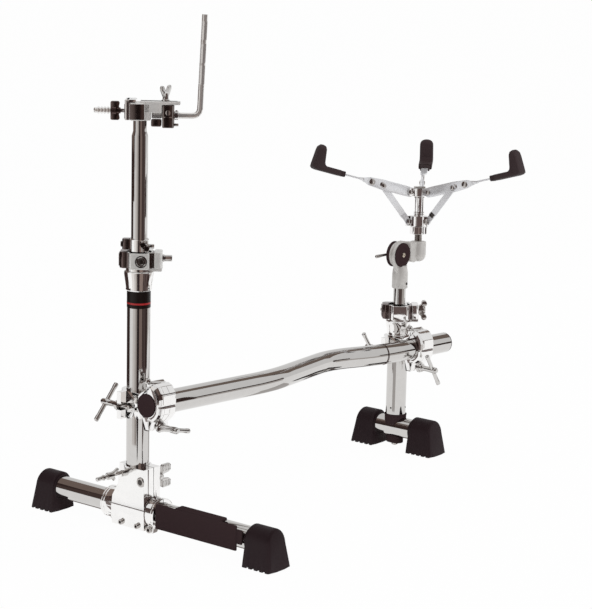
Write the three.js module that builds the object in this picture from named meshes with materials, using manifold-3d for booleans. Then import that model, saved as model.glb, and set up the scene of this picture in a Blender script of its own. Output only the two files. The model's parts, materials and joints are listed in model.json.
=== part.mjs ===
// Drum rack frame: two feet, two posts, a bent bar clamped between them,
// a tom rod over the left post and a folding drum basket over the right post.
// Millimetres, Z up. X runs from the left post to the right one, Y along the foot bars.
import * as THREE from 'three';
import { mergeVertices } from 'three/addons/utils/BufferGeometryUtils.js';
import Module from 'manifold-3d';

const wasm = await Module();
wasm.setup();

// Tubes and play shared by all pieces
const tubeRadius = 19.05;
const tubeWall = 2;
const play = 0.3;
const overrun = 1;
const splitGap = 1.2;
const roundSides = 24;
const smallSides = 10;

// Plan of the rack
const rackSpan = 716.8;
const rightSetback = 4.4;
const footAxisHeight = 39.8;
const barHeight = 225.8;
const barOffset = 51.6;
const barTilt = THREE.MathUtils.degToRad(1.87);
const barPlanTurn = THREE.MathUtils.degToRad(-2);
const upperTurn = THREE.MathUtils.degToRad(-51);

// Rubber boots
const boot = {
  rise: 65.3,
  baseHalfWidth: 26.9,
  topHalfWidth: 22.2,
  halfLength: 26,
  innerSlope: 3,
  outerSlope: 11,
  endWall: 5,
  ribPitch: 11.12,
  grooveWidth: 4.6,
  grooveHeight: 3.4,
  ribs: 5,
  archSides: 9,
};
const leftBoots = { front: -277.7, back: 196.6 };
const rightBoots = { front: -75.1, back: 60.3 };

// Plate along the left foot bar
const plate = {
  near: -61,
  far: -231,
  top: 62.5,
  bottom: 21.5,
  thickness: 4.4,
  hookLength: 11,
  hookTop: 57,
  hookBottom: 34,
  hookThickness: 3,
  stripNear: -102,
  stripFar: -197,
  stripTop: 65,
  stripDepth: 20,
};

// Clamp at the foot of the left post
const base = {
  face: 24,
  shoulder: 13,
  flange: 15.5,
  top: 114,
  bottom: 12,
  nearTop: -35.5,
  nearFoot: -36.8,
  farTop: 28,
  farKnee: 34,
  farFoot: 37,
  kneeHeight: 60,
  slantTop: 3,
  postCollar: 23,
  postCollarFoot: 62,
  footCollar: 25,
  collarNear: -57,
  collarFar: 60,
  boltRadius: 3,
};
const rearWing = {
  y: -29,
  z: 93,
  head: 6.6,
  headHeight: 5,
  hub: 6.6,
  hubLength: 9,
  span: 19.5,
  reach: 30,
  web: 4.5,
};
const frontWing = { y: 23.4, z: 97.5, tip: 72, hub: 6, hubFrom: 34, hubTo: 47, span: 12, near: 26, web: 4 };

// Left post, height casting and tom stem
const cup = { footRadius: 20.8, topRadius: 24.2, seat: 27 };
const leftCasting = { cupFoot: 404, cupHeight: 32, neckHeight: 4, blockHeight: 26.5 };
const rightCasting = { cupFoot: 219, cupHeight: 28.5, neckHeight: 2, blockHeight: 27.5 };
const leftPost = { top: leftCasting.cupFoot + cup.seat, foot: 59.6 };
const stem = { radius: 13.15, bottom: 300, shoulder: 653.7, neckFoot: 660, neckRadius: 10.95, wall: 1.6 };
const block = {
  ringRadius: 21.2,
  frontLow: -15.6,
  frontHigh: 17,
  frontDepth: 22,
  earLow: -31,
  earBevel: 6,
  slotLow: 21.4,
  slotHigh: 27.2,
  earHigh: 36.9,
  earNear: -9,
  earFar: 25,
  shelf: 4.5,
  slit: 2,
};
const pinch = { radius: 3, y: 17.6, headRadius: 6, headLength: 15 };
const blockFootOf = (sizes) => sizes.cupFoot + sizes.cupHeight + sizes.neckHeight;
const blockTopOf = (sizes) => blockFootOf(sizes) + sizes.blockHeight;
const wing = { hub: 6.3, hubLength: 11, reach: 23.5, span: 19, web: 4.6 };
const bush = { length: 50 };
const lock = {
  gap: 0.7,
  height: 20.4,
  radius: 16,
  lugReach: 27,
  lugHalf: 6.5,
  boltRadius: 5,
  boltY: -19,
  boltX: 10,
};

// Tom bracket
const bracket = {
  low: 677.7,
  high: 705.8,
  left: -15,
  right: 8.4,
  halfDepth: 17,
  armRight: 35,
  armBottom: 691,
  armHalf: 12,
  dropRight: 17,
  plateRight: 63.5,
  plateBottom: 703,
  plateTop: 708.4,
  plateTipHalf: 5,
  roof: 4,
};
const strap = { left: -23.4, halfDepth: 15, low: 678, high: 711 };
const strapBolt = {
  z: 692,
  radius: 3.5,
  inner: -11.6,
  outer: -45,
  wingLow: -46.7,
  wingHigh: -30.6,
  wingSpan: 15,
  tail: -73,
  tailHalf: 4.8,
};
const rodBlock = { right: 54.1, halfDepth: 10, low: 666.5 };
const rodBolt = { x: 40.2, radius: 3, foot: 692, wingLow: 709.5, wingHigh: 733.5, hub: 5.7, span: 15, web: 5 };
const rod = {
  radius: 4.75,
  z: 685.8,
  start: 18.5,
  corner: 94.2,
  bend: 13,
  leg: 160.5,
  lean: 6.5,
  sides: 10,
  steps: 24,
};
const collar = { left: 54.5, right: 60.8, radius: 7.4 };

// Bar clamps
const clamp = {
  ringRadius: 27,
  ringTop: 14.7,
  ringBottom: -29.8,
  slotTop: -4.8,
  slotBottom: -15.3,
  boltX: -30,
  lugReach: -38.5,
  lugDepth: 10,
  webHalf: 16,
  webLeft: -25,
  webRight: 10,
  barLeft: -33,
  barRight: 7,
  barSlotLeft: -18.5,
  barSlotRight: -7.5,
  barBoltZ: -35,
  barLugFoot: -43.5,
  knuckleRadius: 5.4,
  knuckleOffset: 30.5,
  pinRadius: 2.2,
};
const tBolt = {
  shank: 3.5,
  inner: 8,
  washer: 9.5,
  washerFrom: 10.6,
  washerTo: 19,
  barrel: 5,
  end: 53,
  crossAt: 43,
  cross: 3.3,
  crossHalf: 36,
};
const handleTurn = {
  leftPost: THREE.MathUtils.degToRad(41),
  leftBar: THREE.MathUtils.degToRad(-101),
  rightPost: THREE.MathUtils.degToRad(-36),
  rightBar: THREE.MathUtils.degToRad(35),
};

// Bent bar: straight, out, back and straight again
const bar = {
  left: -33,
  firstBendShare: 0.378,
  peakShare: 0.684,
  lastBendShare: 0.833,
  pastRight: 75.2,
  peakOut: 51.7,
  blend: 30,
  sides: 16,
  steps: 26,
  capLip: 3,
  capPlug: 12,
};

// Right foot and post
const rightPost = { top: rightCasting.cupFoot + cup.seat, foot: 66 };
const saddle = { radius: 20.6, foot: 46, plugTop: 90, plugRadius: 16.6 };
const lowerSaddle = { halfLength: 17, halfWidth: 12, foot: 9, top: 26 };
const footBolt = { radius: 3.2, foot: 3, top: 84, headRadius: 6, headHeight: 4.5 };
const seatTube = { radius: 11.7, bottom: 125, top: 330, wall: 1.5 };

// Tilter of the drum seat
const tilter = {
  x: -4,
  z: 372.8,
  sleeveRadius: 14.75,
  sleeveFoot: 309,
  sleeveTop: 337,
  neckRadius: 11.5,
  discRadius: 23,
  baseNear: -6,
  baseFar: 3,
  armFar: 10.3,
  armNear: 3.4,
  capRadius: 24,
  capNear: -9.8,
  backFar: 14,
  boltRadius: 4,
  boltEnd: 21,
  leverReach: 47,
  leverRadius: 2.6,
  leverBall: 4,
  webTop: 386,
  webFoot: 364,
};
const basketAt = { x: 55.5, y: -0.2, z: 361 };
const basketLean = { away: THREE.MathUtils.degToRad(-2.6), side: THREE.MathUtils.degToRad(3.2) };
const boss = { radius: 15.2, foot: -8, top: 30 };
const spindle = { radius: 7.8, shoulder: 58.8, tipRadius: 5, tip: 128 };
const nut = { radius: 16.7, foot: 43, top: 58.4, lobes: 6 };
const upperHub = { radius: 16.4, foot: 116, top: 131, sleeve: 9.2 };
const lowerHub = { radius: 18, foot: 59.2, top: 78 };

// Folding arms of the basket
const arms = {
  count: 3,
  turn: THREE.MathUtils.degToRad(31.8),
  rise: THREE.MathUtils.degToRad(14),
  pivotRadius: 20.5,
  pivotHeight: 123.5,
  stripHalf: 7.4,
  stripThick: 3,
  stripEnd: 90,
  twistEnd: 112,
  flatEnd: 196,
  flatHalf: 6.5,
  twistSteps: 4,
  pin: 2.3,
  ear: 3.2,
};
const strut = {
  pivotRadius: 20.9,
  pivotHeight: 67.2,
  rivetRadius: 76.2,
  rivetHeight: 135.6,
  half: 5.4,
  thick: 2.4,
  endRadius: 6,
};
const grip = {
  from: 142,
  under: 5.6,
  over: 5.9,
  halfWidth: 13,
  innerFoot: 189,
  innerTop: 194,
  rise: 43,
  outerTop: 203.5,
  outerKnee: 207,
  to: 209,
};

// Axes and finishes
const xAxis = new THREE.Vector3(1, 0, 0);
const yAxis = new THREE.Vector3(0, 1, 0);
const zAxis = new THREE.Vector3(0, 0, 1);
const chrome = { color: 0xd9dadc, roughness: 0.12, metalness: 1 };
const cast = { color: 0xb9babd, roughness: 0.28, metalness: 1 };
const rubber = { color: 0x1c1816, roughness: 0.7, metalness: 0 };
const plastic = { color: 0x151515, roughness: 0.45, metalness: 0 };
const nylon = { color: 0xd8d4c8, roughness: 0.6, metalness: 0 };

// Solids and cuts

/** Turns a closed geometry into a solid that can be joined and cut. */
function solid(geometry) {
  const bare = geometry.clone();
  bare.deleteAttribute('normal');
  bare.deleteAttribute('uv');
  const merged = mergeVertices(bare);
  const mesh = new wasm.Mesh({
    numProp: 3,
    vertProperties: new Float32Array(merged.attributes.position.array),
    triVerts: new Uint32Array(merged.index.array),
  });
  return new wasm.Manifold(mesh);
}

/** Turns a solid back into a geometry. */
function geometryOf(body) {
  const mesh = body.getMesh();
  const geometry = new THREE.BufferGeometry();
  geometry.setAttribute('position', new THREE.BufferAttribute(mesh.vertProperties, 3));
  geometry.setIndex(new THREE.BufferAttribute(mesh.triVerts, 1));
  geometry.computeVertexNormals();
  return geometry;
}

const join = (first, ...rest) => geometryOf(rest.reduce((body, g) => body.add(solid(g)), solid(first)));
const cut = (first, ...tools) => geometryOf(tools.reduce((body, g) => body.subtract(solid(g)), solid(first)));
const common = (first, second) => geometryOf(solid(first).intersect(solid(second)));

/** Round bar along X, Y or Z between two places on that axis. */
function round(axis, radius, low, high, sides = roundSides, endRadius = radius) {
  const geometry = new THREE.CylinderGeometry(endRadius, radius, high - low, sides);
  geometry.translate(0, (low + high) / 2, 0);
  if (axis === 'x') geometry.rotateZ(-Math.PI / 2);
  if (axis === 'z') geometry.rotateX(Math.PI / 2);
  return geometry;
}

/** Radius of a faceted hole whose flats clear a round bar of the given radius. */
const holeRadius = (radius, sides = roundSides) => (radius + play) / Math.cos(Math.PI / sides);

/** Cutter for a hole that clears a round bar, running past both places. */
const hole = (axis, radius, low, high, sides = roundSides) =>
  round(axis, holeRadius(radius, sides), low - overrun, high + overrun, sides);

/** Box between two corners. */
function box(xLow, xHigh, yLow, yHigh, zLow, zHigh) {
  const geometry = new THREE.BoxGeometry(xHigh - xLow, yHigh - yLow, zHigh - zLow);
  return geometry.translate((xLow + xHigh) / 2, (yLow + yHigh) / 2, (zLow + zHigh) / 2);
}

/** Plate with an outline across one axis, between two places on that axis. */
function slab(axis, points, low, high) {
  const outline = new THREE.Shape(points.map(([u, v]) => new THREE.Vector2(u, v)));
  const geometry = new THREE.ExtrudeGeometry(outline, { depth: high - low, bevelEnabled: false });
  if (axis === 'x') {
    geometry.applyMatrix4(new THREE.Matrix4().makeBasis(yAxis, zAxis, xAxis));
    return geometry.translate(low, 0, 0);
  }
  if (axis === 'y') {
    geometry.applyMatrix4(new THREE.Matrix4().makeBasis(xAxis, zAxis, yAxis.clone().negate()));
    return geometry.translate(0, high, 0);
  }
  return geometry.translate(0, 0, low);
}

/** Tube along Z, open at both ends. */
function pipe(radius, wall, low, high, sides = roundSides) {
  const inner = radius - wall;
  const profile = [[inner, low], [radius, low], [radius, high], [inner, high], [inner, low]];
  return turned(profile, sides);
}

/** Turned piece about Z from a closed profile of radius and height. */
function turned(profile, sides = roundSides) {
  const points = profile.map(([r, z]) => new THREE.Vector2(r, z));
  return new THREE.LatheGeometry(points, sides).rotateX(Math.PI / 2);
}

/** Half of the space on one side of the split plane across an axis. */
function half(axis, sign, size) {
  const near = splitGap / 2;
  const [low, high] = sign > 0 ? [near, size] : [-size, -near];
  if (axis === 'x') return box(low, high, -size, size, -size, size);
  return box(-size, size, low, high, -size, size);
}

/** Adds a named piece to a group. */
function add(group, name, geometry, finish) {
  const mesh = new THREE.Mesh(geometry, new THREE.MeshStandardMaterial(finish));
  mesh.name = name;
  group.add(mesh);
  return mesh;
}

/** Group at a place, turned about Z. */
function placed(parent, x, y, z, turn = 0) {
  const group = new THREE.Group();
  group.position.set(x, y, z);
  group.rotation.z = turn;
  parent.add(group);
  return group;
}

// Pieces

/** Rubber boot on a foot bar; the outward sign points to its closed end. */
function bootSolid(outward) {
  const arch = [];
  const rise = boot.rise - footAxisHeight;
  for (let i = 0; i <= boot.archSides; i += 1) {
    const angle = (Math.PI * i) / boot.archSides;
    arch.push([boot.topHalfWidth * Math.cos(angle), footAxisHeight + rise * Math.sin(angle)]);
  }
  const across = [[-boot.baseHalfWidth, 0], [boot.baseHalfWidth, 0], ...arch];
  const knee = boot.rise - boot.outerSlope;
  const along = [
    [-boot.halfLength * outward, 0],
    [boot.halfLength * outward, 0],
    [(boot.halfLength - boot.outerSlope * knee / boot.rise) * outward, knee],
    [(boot.halfLength - boot.outerSlope * 2) * outward, boot.rise + overrun],
    [(boot.innerSlope - boot.halfLength) * outward, boot.rise + overrun],
  ];
  const body = common(
    slab('y', across, -boot.halfLength, boot.halfLength),
    slab(
      'x', outward > 0 ? along : along.reverse(),
      -boot.baseHalfWidth - overrun, boot.baseHalfWidth + overrun,
    ),
  );
  const boreEnd = (boot.halfLength - boot.outerSlope - boot.endWall) * outward;
  const boreMouth = -(boot.halfLength + overrun) * outward;
  const bore = round('y', holeRadius(tubeRadius), Math.min(boreEnd, boreMouth), Math.max(boreEnd, boreMouth));
  const cutters = [bore.translate(0, 0, footAxisHeight)];
  for (let i = 1; i < boot.ribs; i += 1) {
    const y = (i - boot.ribs / 2) * boot.ribPitch;
    const side = boot.baseHalfWidth + overrun;
    cutters.push(
      box(-side, side, y - boot.grooveWidth / 2, y + boot.grooveWidth / 2, -overrun, boot.grooveHeight),
    );
  }
  return cut(body, ...cutters);
}

/** How far a foot bar reaches into a boot. */
const bootSeat = boot.halfLength - boot.outerSlope - boot.endWall - play;

/** Foot bar with its two boots and any holes through the bar. */
function foot(group, side, boots, ...holes) {
  const tube = pipe(tubeRadius, tubeWall, boots.front - bootSeat, boots.back + bootSeat);
  tube.rotateX(-Math.PI / 2).translate(0, 0, footAxisHeight);
  add(group, `${side}_foot_bar`, holes.length ? cut(tube, ...holes) : tube, chrome);
  add(group, `${side}_foot_front`, bootSolid(-1).translate(0, boots.front, 0), rubber);
  add(group, `${side}_foot_back`, bootSolid(1).translate(0, boots.back, 0), rubber);
}

/** Plate clipped along the camera side of the left foot bar. */
function namePlate() {
  const inner = -(tubeRadius + play);
  const outer = inner - plate.thickness;
  const face = box(outer, inner, plate.far, plate.near, plate.bottom, plate.top);
  const stripFoot = footAxisHeight + tubeRadius + play;
  const stripFar = outer + plate.stripDepth;
  const strip = box(outer, stripFar, plate.stripFar, plate.stripNear, stripFoot, plate.stripTop);
  const hook = box(inner - plate.hookThickness, inner, plate.far - plate.hookLength, plate.far + overrun,
    plate.hookBottom, plate.hookTop);
  return join(face, strip, hook);
}

/** Bores of the base clamp, for the post and for the foot bar. */
function baseBores() {
  const postBore = hole('z', tubeRadius, leftPost.foot - play, base.top);
  const footBore = hole('y', tubeRadius, base.collarNear, base.collarFar).translate(0, 0, footAxisHeight);
  return [postBore, footBore];
}

/** Collars of the base clamp, for one half of it. */
function baseCollars(sign) {
  const post = round('z', base.postCollar, base.postCollarFoot, base.top);
  const footCollar = round('y', base.footCollar, base.collarNear, base.collarFar)
    .translate(0, 0, footAxisHeight);
  const side = half('x', sign, base.top + overrun);
  return [common(post, side), common(footCollar, side)];
}

/** Holes for the two wing bolts of the base clamp. */
function baseBoltHoles() {
  const end = base.flange + base.postCollar;
  return [rearWing, frontWing].map(
    (bolt) => hole('x', base.boltRadius, -base.face, end, smallSides).translate(0, bolt.y, bolt.z),
  );
}

/** Half of the base clamp that faces left: a flat plate with a slanted edge. */
function baseFront() {
  const back = [
    [base.farTop, base.top], [base.farKnee, base.kneeHeight], [base.farFoot, base.footCollar],
    [base.farKnee, base.bottom], [base.nearFoot, base.bottom], [base.nearTop, base.top],
  ].reverse();
  const face = [
    [base.slantTop, base.top], [base.farKnee, base.kneeHeight], [base.farFoot, base.footCollar],
    [base.farKnee, base.bottom], [base.nearFoot, base.bottom], [base.nearTop, base.top],
  ].reverse();
  const body = join(
    slab('x', back, -base.shoulder, -splitGap / 2),
    slab('x', face, -base.face, -base.shoulder + overrun),
    ...baseCollars(-1),
  );
  return cut(body, ...baseBores(), ...baseBoltHoles());
}

/** Half of the base clamp that faces right. */
function baseRear() {
  const flange = box(splitGap / 2, base.flange, base.nearTop, base.farTop, base.postCollarFoot, base.top);
  return cut(join(flange, ...baseCollars(1)), ...baseBores(), ...baseBoltHoles());
}

/** Wing bolt through the base clamp with its wings on the right. */
function rearWingBolt() {
  const seat = base.flange + play;
  const headSeat = -base.face - play;
  const headEnd = headSeat - rearWing.headHeight;
  const shank = round('x', base.boltRadius, headEnd, seat + rearWing.reach / 2, smallSides);
  const head = round('x', rearWing.head, headEnd, headSeat, smallSides);
  const hub = round('x', rearWing.hub, seat, seat + rearWing.hubLength, smallSides);
  const wings = box(seat + rearWing.hub, seat + rearWing.reach, -rearWing.web / 2, rearWing.web / 2,
    -rearWing.span, rearWing.span);
  return join(shank, head, hub, wings).translate(0, rearWing.y, rearWing.z);
}

/** Long wing bolt through the base clamp with its wings and tip on the left. */
function frontWingBolt() {
  const seat = base.flange + play;
  const shank = round('x', base.boltRadius, -frontWing.tip, seat + rearWing.headHeight, smallSides);
  const head = round('x', rearWing.hub, seat, seat + rearWing.headHeight, smallSides);
  const hub = round('x', frontWing.hub, -frontWing.hubTo, -frontWing.hubFrom, smallSides);
  const wings = box(-frontWing.hubFrom - overrun, -frontWing.near, -frontWing.web / 2, frontWing.web / 2,
    -frontWing.span, frontWing.span);
  return join(shank, head, hub, wings).translate(0, frontWing.y, frontWing.z);
}

/** Height casting: a cup on the post with a split clamp ring above it. */
function heightCasting(sizes, innerRadius) {
  const cupTop = sizes.cupFoot + sizes.cupHeight;
  const blockFoot = blockFootOf(sizes);
  const blockTop = blockTopOf(sizes);
  const seatTop = sizes.cupFoot + cup.seat + play;
  const wallRadius = holeRadius(tubeRadius);
  const innerHole = holeRadius(innerRadius);
  const body = turned([
    [wallRadius, sizes.cupFoot], [cup.footRadius, sizes.cupFoot], [cup.topRadius, cupTop],
    [innerHole, cupTop], [innerHole, seatTop], [wallRadius, seatTop], [wallRadius, sizes.cupFoot],
  ]);
  const low = cupTop - overrun;
  const ring = round('z', block.ringRadius, low, blockTop);
  const front = box(block.frontLow, block.frontHigh, -block.frontDepth, 0, blockFoot, blockTop);
  const leftEar = slab('y', [
    [0, blockFoot], [0, blockTop], [block.earLow, blockTop],
    [block.earLow, blockFoot + block.earBevel], [block.earLow + block.earBevel, blockFoot],
  ], block.earNear, block.earFar);
  const rightCheek = box(0, block.slotLow, block.earNear, block.earFar, blockFoot, blockTop);
  const rightEar = box(block.slotHigh, block.earHigh, block.earNear, block.earFar, blockFoot, blockTop);
  const shelf = box(block.frontHigh, block.earHigh, block.earNear, block.earFar,
    blockFoot - block.shelf, blockFoot + overrun);
  const bolt = hole('x', pinch.radius, block.earLow, block.earHigh, smallSides);
  return cut(
    join(body, ring, front, leftEar, rightCheek, rightEar, shelf),
    hole('z', innerRadius, seatTop, blockTop),
    box(-block.slit / 2, block.slit / 2, 0, block.earFar + overrun, blockFoot, blockTop + overrun),
    bolt.translate(0, pinch.y, (blockFoot + blockTop) / 2),
    hole('z', tubeRadius, sizes.cupFoot, seatTop - play - overrun),
  );
}

/** Bolt along X through the ears of a height casting. */
function pinchBolt(sizes, winged) {
  const z = (blockFootOf(sizes) + blockTopOf(sizes)) / 2;
  const seat = block.earHigh + play;
  const headSeat = block.earLow - play;
  const head = round('x', pinch.headRadius, headSeat - pinch.radius, headSeat, smallSides);
  const shank = round('x', pinch.radius, headSeat - pinch.radius, seat + pinch.headRadius, smallSides);
  if (!winged) {
    const knob = round('x', pinch.headRadius, seat, seat + pinch.headLength, smallSides);
    return join(shank, head, knob).translate(0, pinch.y, z);
  }
  const hub = round('x', wing.hub, seat, seat + wing.hubLength, smallSides);
  const wings = box(
    seat + wing.hubLength / 2, seat + wing.reach, -wing.web / 2, wing.web / 2, -wing.span, wing.span,
  );
  return join(shank, head, hub, wings).translate(0, pinch.y, z);
}

/** Plastic bush between a post and the tube that slides in it. */
function bushSolid(top, innerRadius) {
  const outer = tubeRadius - tubeWall - play;
  const inner = holeRadius(innerRadius);
  const outerFlats = outer * Math.cos(Math.PI / roundSides);
  const foot = top - bush.length;
  return turned([
    [inner, foot], [outerFlats, foot], [outerFlats, top], [inner, top], [inner, foot],
  ]);
}

/** Sliding tube over the left post, drawn in to a neck at its top. */
function stemTube() {
  const inner = stem.radius - stem.wall;
  const neckInner = stem.neckRadius - stem.wall;
  const top = bracket.high - bracket.roof - play;
  return turned([
    [inner, stem.bottom], [stem.radius, stem.bottom], [stem.radius, stem.shoulder],
    [stem.neckRadius, stem.neckFoot], [stem.neckRadius, top], [neckInner, top],
    [neckInner, stem.neckFoot], [inner, stem.shoulder], [inner, stem.bottom],
  ]);
}

/** Memory lock on the sliding tube. */
function memoryLock() {
  const foot = blockTopOf(leftCasting) + lock.gap;
  const top = foot + lock.height;
  const ring = round('z', lock.radius, foot, top);
  const lug = box(-lock.lugReach, 0, -lock.lugHalf, lock.lugHalf, foot + lock.lugHalf / 2, top);
  const key = round('y', lock.boltRadius, lock.boltY, 0, smallSides);
  key.translate(lock.boltX, 0, foot + lock.height / 2);
  return cut(join(ring, lug, key), hole('z', stem.radius, foot, top));
}

/** Body of the tom bracket. */
function bracketBody() {
  const head = box(bracket.left, bracket.right, -bracket.halfDepth, bracket.halfDepth,
    bracket.low, bracket.high);
  const drop = box(0, bracket.dropRight, -bracket.armHalf, bracket.armHalf, bracket.low, bracket.high);
  const arm = box(
    0, bracket.armRight, -bracket.armHalf, bracket.armHalf, bracket.armBottom, bracket.plateTop,
  );
  const tip = slab('z', [
    [0, -bracket.armHalf], [bracket.armRight, -bracket.armHalf], [bracket.plateRight, -bracket.plateTipHalf],
    [bracket.plateRight, bracket.plateTipHalf], [bracket.armRight, bracket.armHalf], [0, bracket.armHalf],
  ], bracket.plateBottom, bracket.plateTop);
  return cut(
    join(head, drop, arm, tip),
    round('z', holeRadius(stem.neckRadius), bracket.low - overrun, bracket.high - bracket.roof),
    hole('x', strapBolt.radius, bracket.left, -stem.neckRadius, smallSides).translate(0, 0, strapBolt.z),
    hole('z', rodBolt.radius, bracket.plateBottom, bracket.plateTop, smallSides).translate(rodBolt.x, 0, 0),
    hole('x', rod.radius, bracket.dropRight - overrun, bracket.armRight, smallSides).translate(0, 0, rod.z),
  );
}

/** Block that the tube wing bolt draws against the bracket. */
function strapBlock() {
  const body = box(strap.left, bracket.left - play, -strap.halfDepth, strap.halfDepth, strap.low, strap.high);
  const boltHole = hole('x', strapBolt.radius, strap.left, bracket.left, smallSides);
  return cut(body, boltHole.translate(0, 0, strapBolt.z));
}

/** Wing bolt on the left of the tom bracket. */
function strapWingBolt() {
  const shank = round('x', strapBolt.radius, strapBolt.outer, strapBolt.inner, smallSides);
  const hub = round('x', strapBolt.radius * 2, strapBolt.wingLow, strapBolt.wingHigh, smallSides);
  const thin = strapBolt.radius;
  const wings = box(strapBolt.wingLow + thin, strapBolt.wingHigh - thin, -thin, thin,
    -strapBolt.wingSpan, strapBolt.wingSpan);
  const tail = box(strapBolt.tail, strapBolt.wingLow + overrun, -thin, thin,
    -strapBolt.tailHalf, strapBolt.tailHalf);
  return join(shank, hub, wings, tail).translate(0, 0, strapBolt.z);
}

/** Block under the bracket that grips the tom rod. */
function rodClampBlock() {
  const body = box(bracket.armRight + play, rodBlock.right, -rodBlock.halfDepth, rodBlock.halfDepth,
    rodBlock.low, bracket.plateBottom - play);
  return cut(
    body,
    hole('x', rod.radius, bracket.armRight, rodBlock.right, smallSides).translate(0, 0, rod.z),
    hole('z', rodBolt.radius, rodBolt.foot, bracket.plateBottom, smallSides).translate(rodBolt.x, 0, 0),
  );
}

/** Upright wing bolt over the rod block. */
function rodWingBolt() {
  const shank = round('z', rodBolt.radius, rodBolt.foot, rodBolt.wingLow + rodBolt.hub, smallSides);
  const hub = round('z', rodBolt.hub, rodBolt.wingLow, rodBolt.wingLow + rodBolt.hub * 2, smallSides);
  const wings = box(-rodBolt.web / 2, rodBolt.web / 2, -rodBolt.span, rodBolt.span,
    rodBolt.wingLow + rodBolt.hub, rodBolt.wingHigh);
  return join(shank, hub, wings).translate(rodBolt.x, 0, 0);
}

/** Circle outline, with an inner circle for a tube. */
function circleOutline(radius, sides, inner = 0) {
  const ring = (r) => Array.from({ length: sides }, (_, i) => {
    const angle = (2 * Math.PI * i) / sides;
    return new THREE.Vector2(r * Math.cos(angle), r * Math.sin(angle));
  });
  const outline = new THREE.Shape(ring(radius));
  if (inner > 0) outline.holes.push(new THREE.Path(ring(inner)));
  return outline;
}

/** Path through points with each inner corner rounded over the same length. */
function bentPath(points, blend) {
  const path = new THREE.CurvePath();
  let start = points[0];
  for (let i = 1; i < points.length - 1; i += 1) {
    const before = points[i].clone().sub(points[i - 1]).setLength(blend);
    const after = points[i + 1].clone().sub(points[i]).setLength(blend);
    const enter = points[i].clone().sub(before);
    const leave = points[i].clone().add(after);
    path.add(new THREE.LineCurve3(start, enter));
    path.add(new THREE.QuadraticBezierCurve3(enter, points[i], leave));
    start = leave;
  }
  path.add(new THREE.LineCurve3(start, points[points.length - 1]));
  return path;
}

/** L-shaped tom rod. */
function tomRod() {
  const path = bentPath([
    new THREE.Vector3(rod.start, 0, rod.z),
    new THREE.Vector3(rod.corner, 0, rod.z),
    new THREE.Vector3(rod.corner + rod.lean, 0, rod.z + rod.leg),
  ], rod.bend);
  const outline = circleOutline(rod.radius, rod.sides);
  return new THREE.ExtrudeGeometry(outline, { steps: rod.steps, extrudePath: path });
}

/** Memory collar on the tom rod. */
function rodCollar() {
  const ring = round('x', collar.radius, collar.left, collar.right, roundSides);
  return cut(ring, hole('x', rod.radius, collar.left, collar.right, smallSides)).translate(0, 0, rod.z);
}

/** Places a geometry of the bar's own frame into its clamp's frame. */
const tilted = (geometry) => geometry.rotateY(barTilt).translate(0, -barOffset, 0);

/** Ring on the post with its lugs, whole. */
function postRing() {
  const ring = round('z', clamp.ringRadius, clamp.ringBottom, clamp.ringTop);
  const lugs = box(clamp.lugReach, 0, -clamp.lugDepth, clamp.lugDepth, clamp.ringBottom, clamp.ringTop);
  return join(ring, lugs);
}

/** Cutters that a post ring needs: the post and the slot of its bolt. */
function postRingCuts() {
  const slot = box(clamp.lugReach - overrun, clamp.boltX + tBolt.shank * 2, -clamp.lugDepth - overrun,
    clamp.lugDepth + overrun, clamp.slotBottom, clamp.slotTop);
  return [hole('z', tubeRadius, clamp.ringBottom, clamp.ringTop), slot];
}

/** Ring on the bar with its lugs, whole, in the bar's frame. */
function barRing() {
  const ring = round('x', clamp.ringRadius, clamp.barLeft, clamp.barRight);
  const lugs = box(clamp.barLeft, clamp.barRight, -clamp.lugDepth, clamp.lugDepth, clamp.barLugFoot, 0);
  return join(ring, lugs);
}

/** Cutters that a bar ring needs, in the bar's frame. */
function barRingCuts() {
  const slot = box(clamp.barSlotLeft, clamp.barSlotRight, -clamp.lugDepth - overrun, clamp.lugDepth + overrun,
    clamp.barLugFoot - overrun, clamp.barBoltZ + tBolt.shank * 2);
  return [hole('x', tubeRadius, clamp.barLeft, clamp.webRight), slot];
}

/** Hinge knuckles along an axis: outer ones for a body, the middle one with its pin for a jaw. */
function knuckles(axis, low, high, middle) {
  const third = (high - low) / 3;
  if (middle) {
    return join(
      round(axis, clamp.knuckleRadius, low + third + play, high - third - play, smallSides),
      round(axis, clamp.pinRadius, low, high, smallSides),
    );
  }
  return join(
    round(axis, clamp.knuckleRadius, low, low + third, smallSides),
    round(axis, clamp.knuckleRadius, high - third, high, smallSides),
  );
}

/** Space that the other half's knuckles need. */
const knuckleRoom = (axis, low, high) => hole(axis, clamp.knuckleRadius, low, high, smallSides);

/** Room for the washer of a T-bolt beside a ring, along Y from the lugs outwards. */
const washerRoom = (sign) => {
  const low = clamp.lugDepth + play;
  const room = round('y', holeRadius(tBolt.washer), low, clamp.ringRadius + overrun);
  return sign > 0 ? room : room.rotateZ(Math.PI);
};

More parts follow.
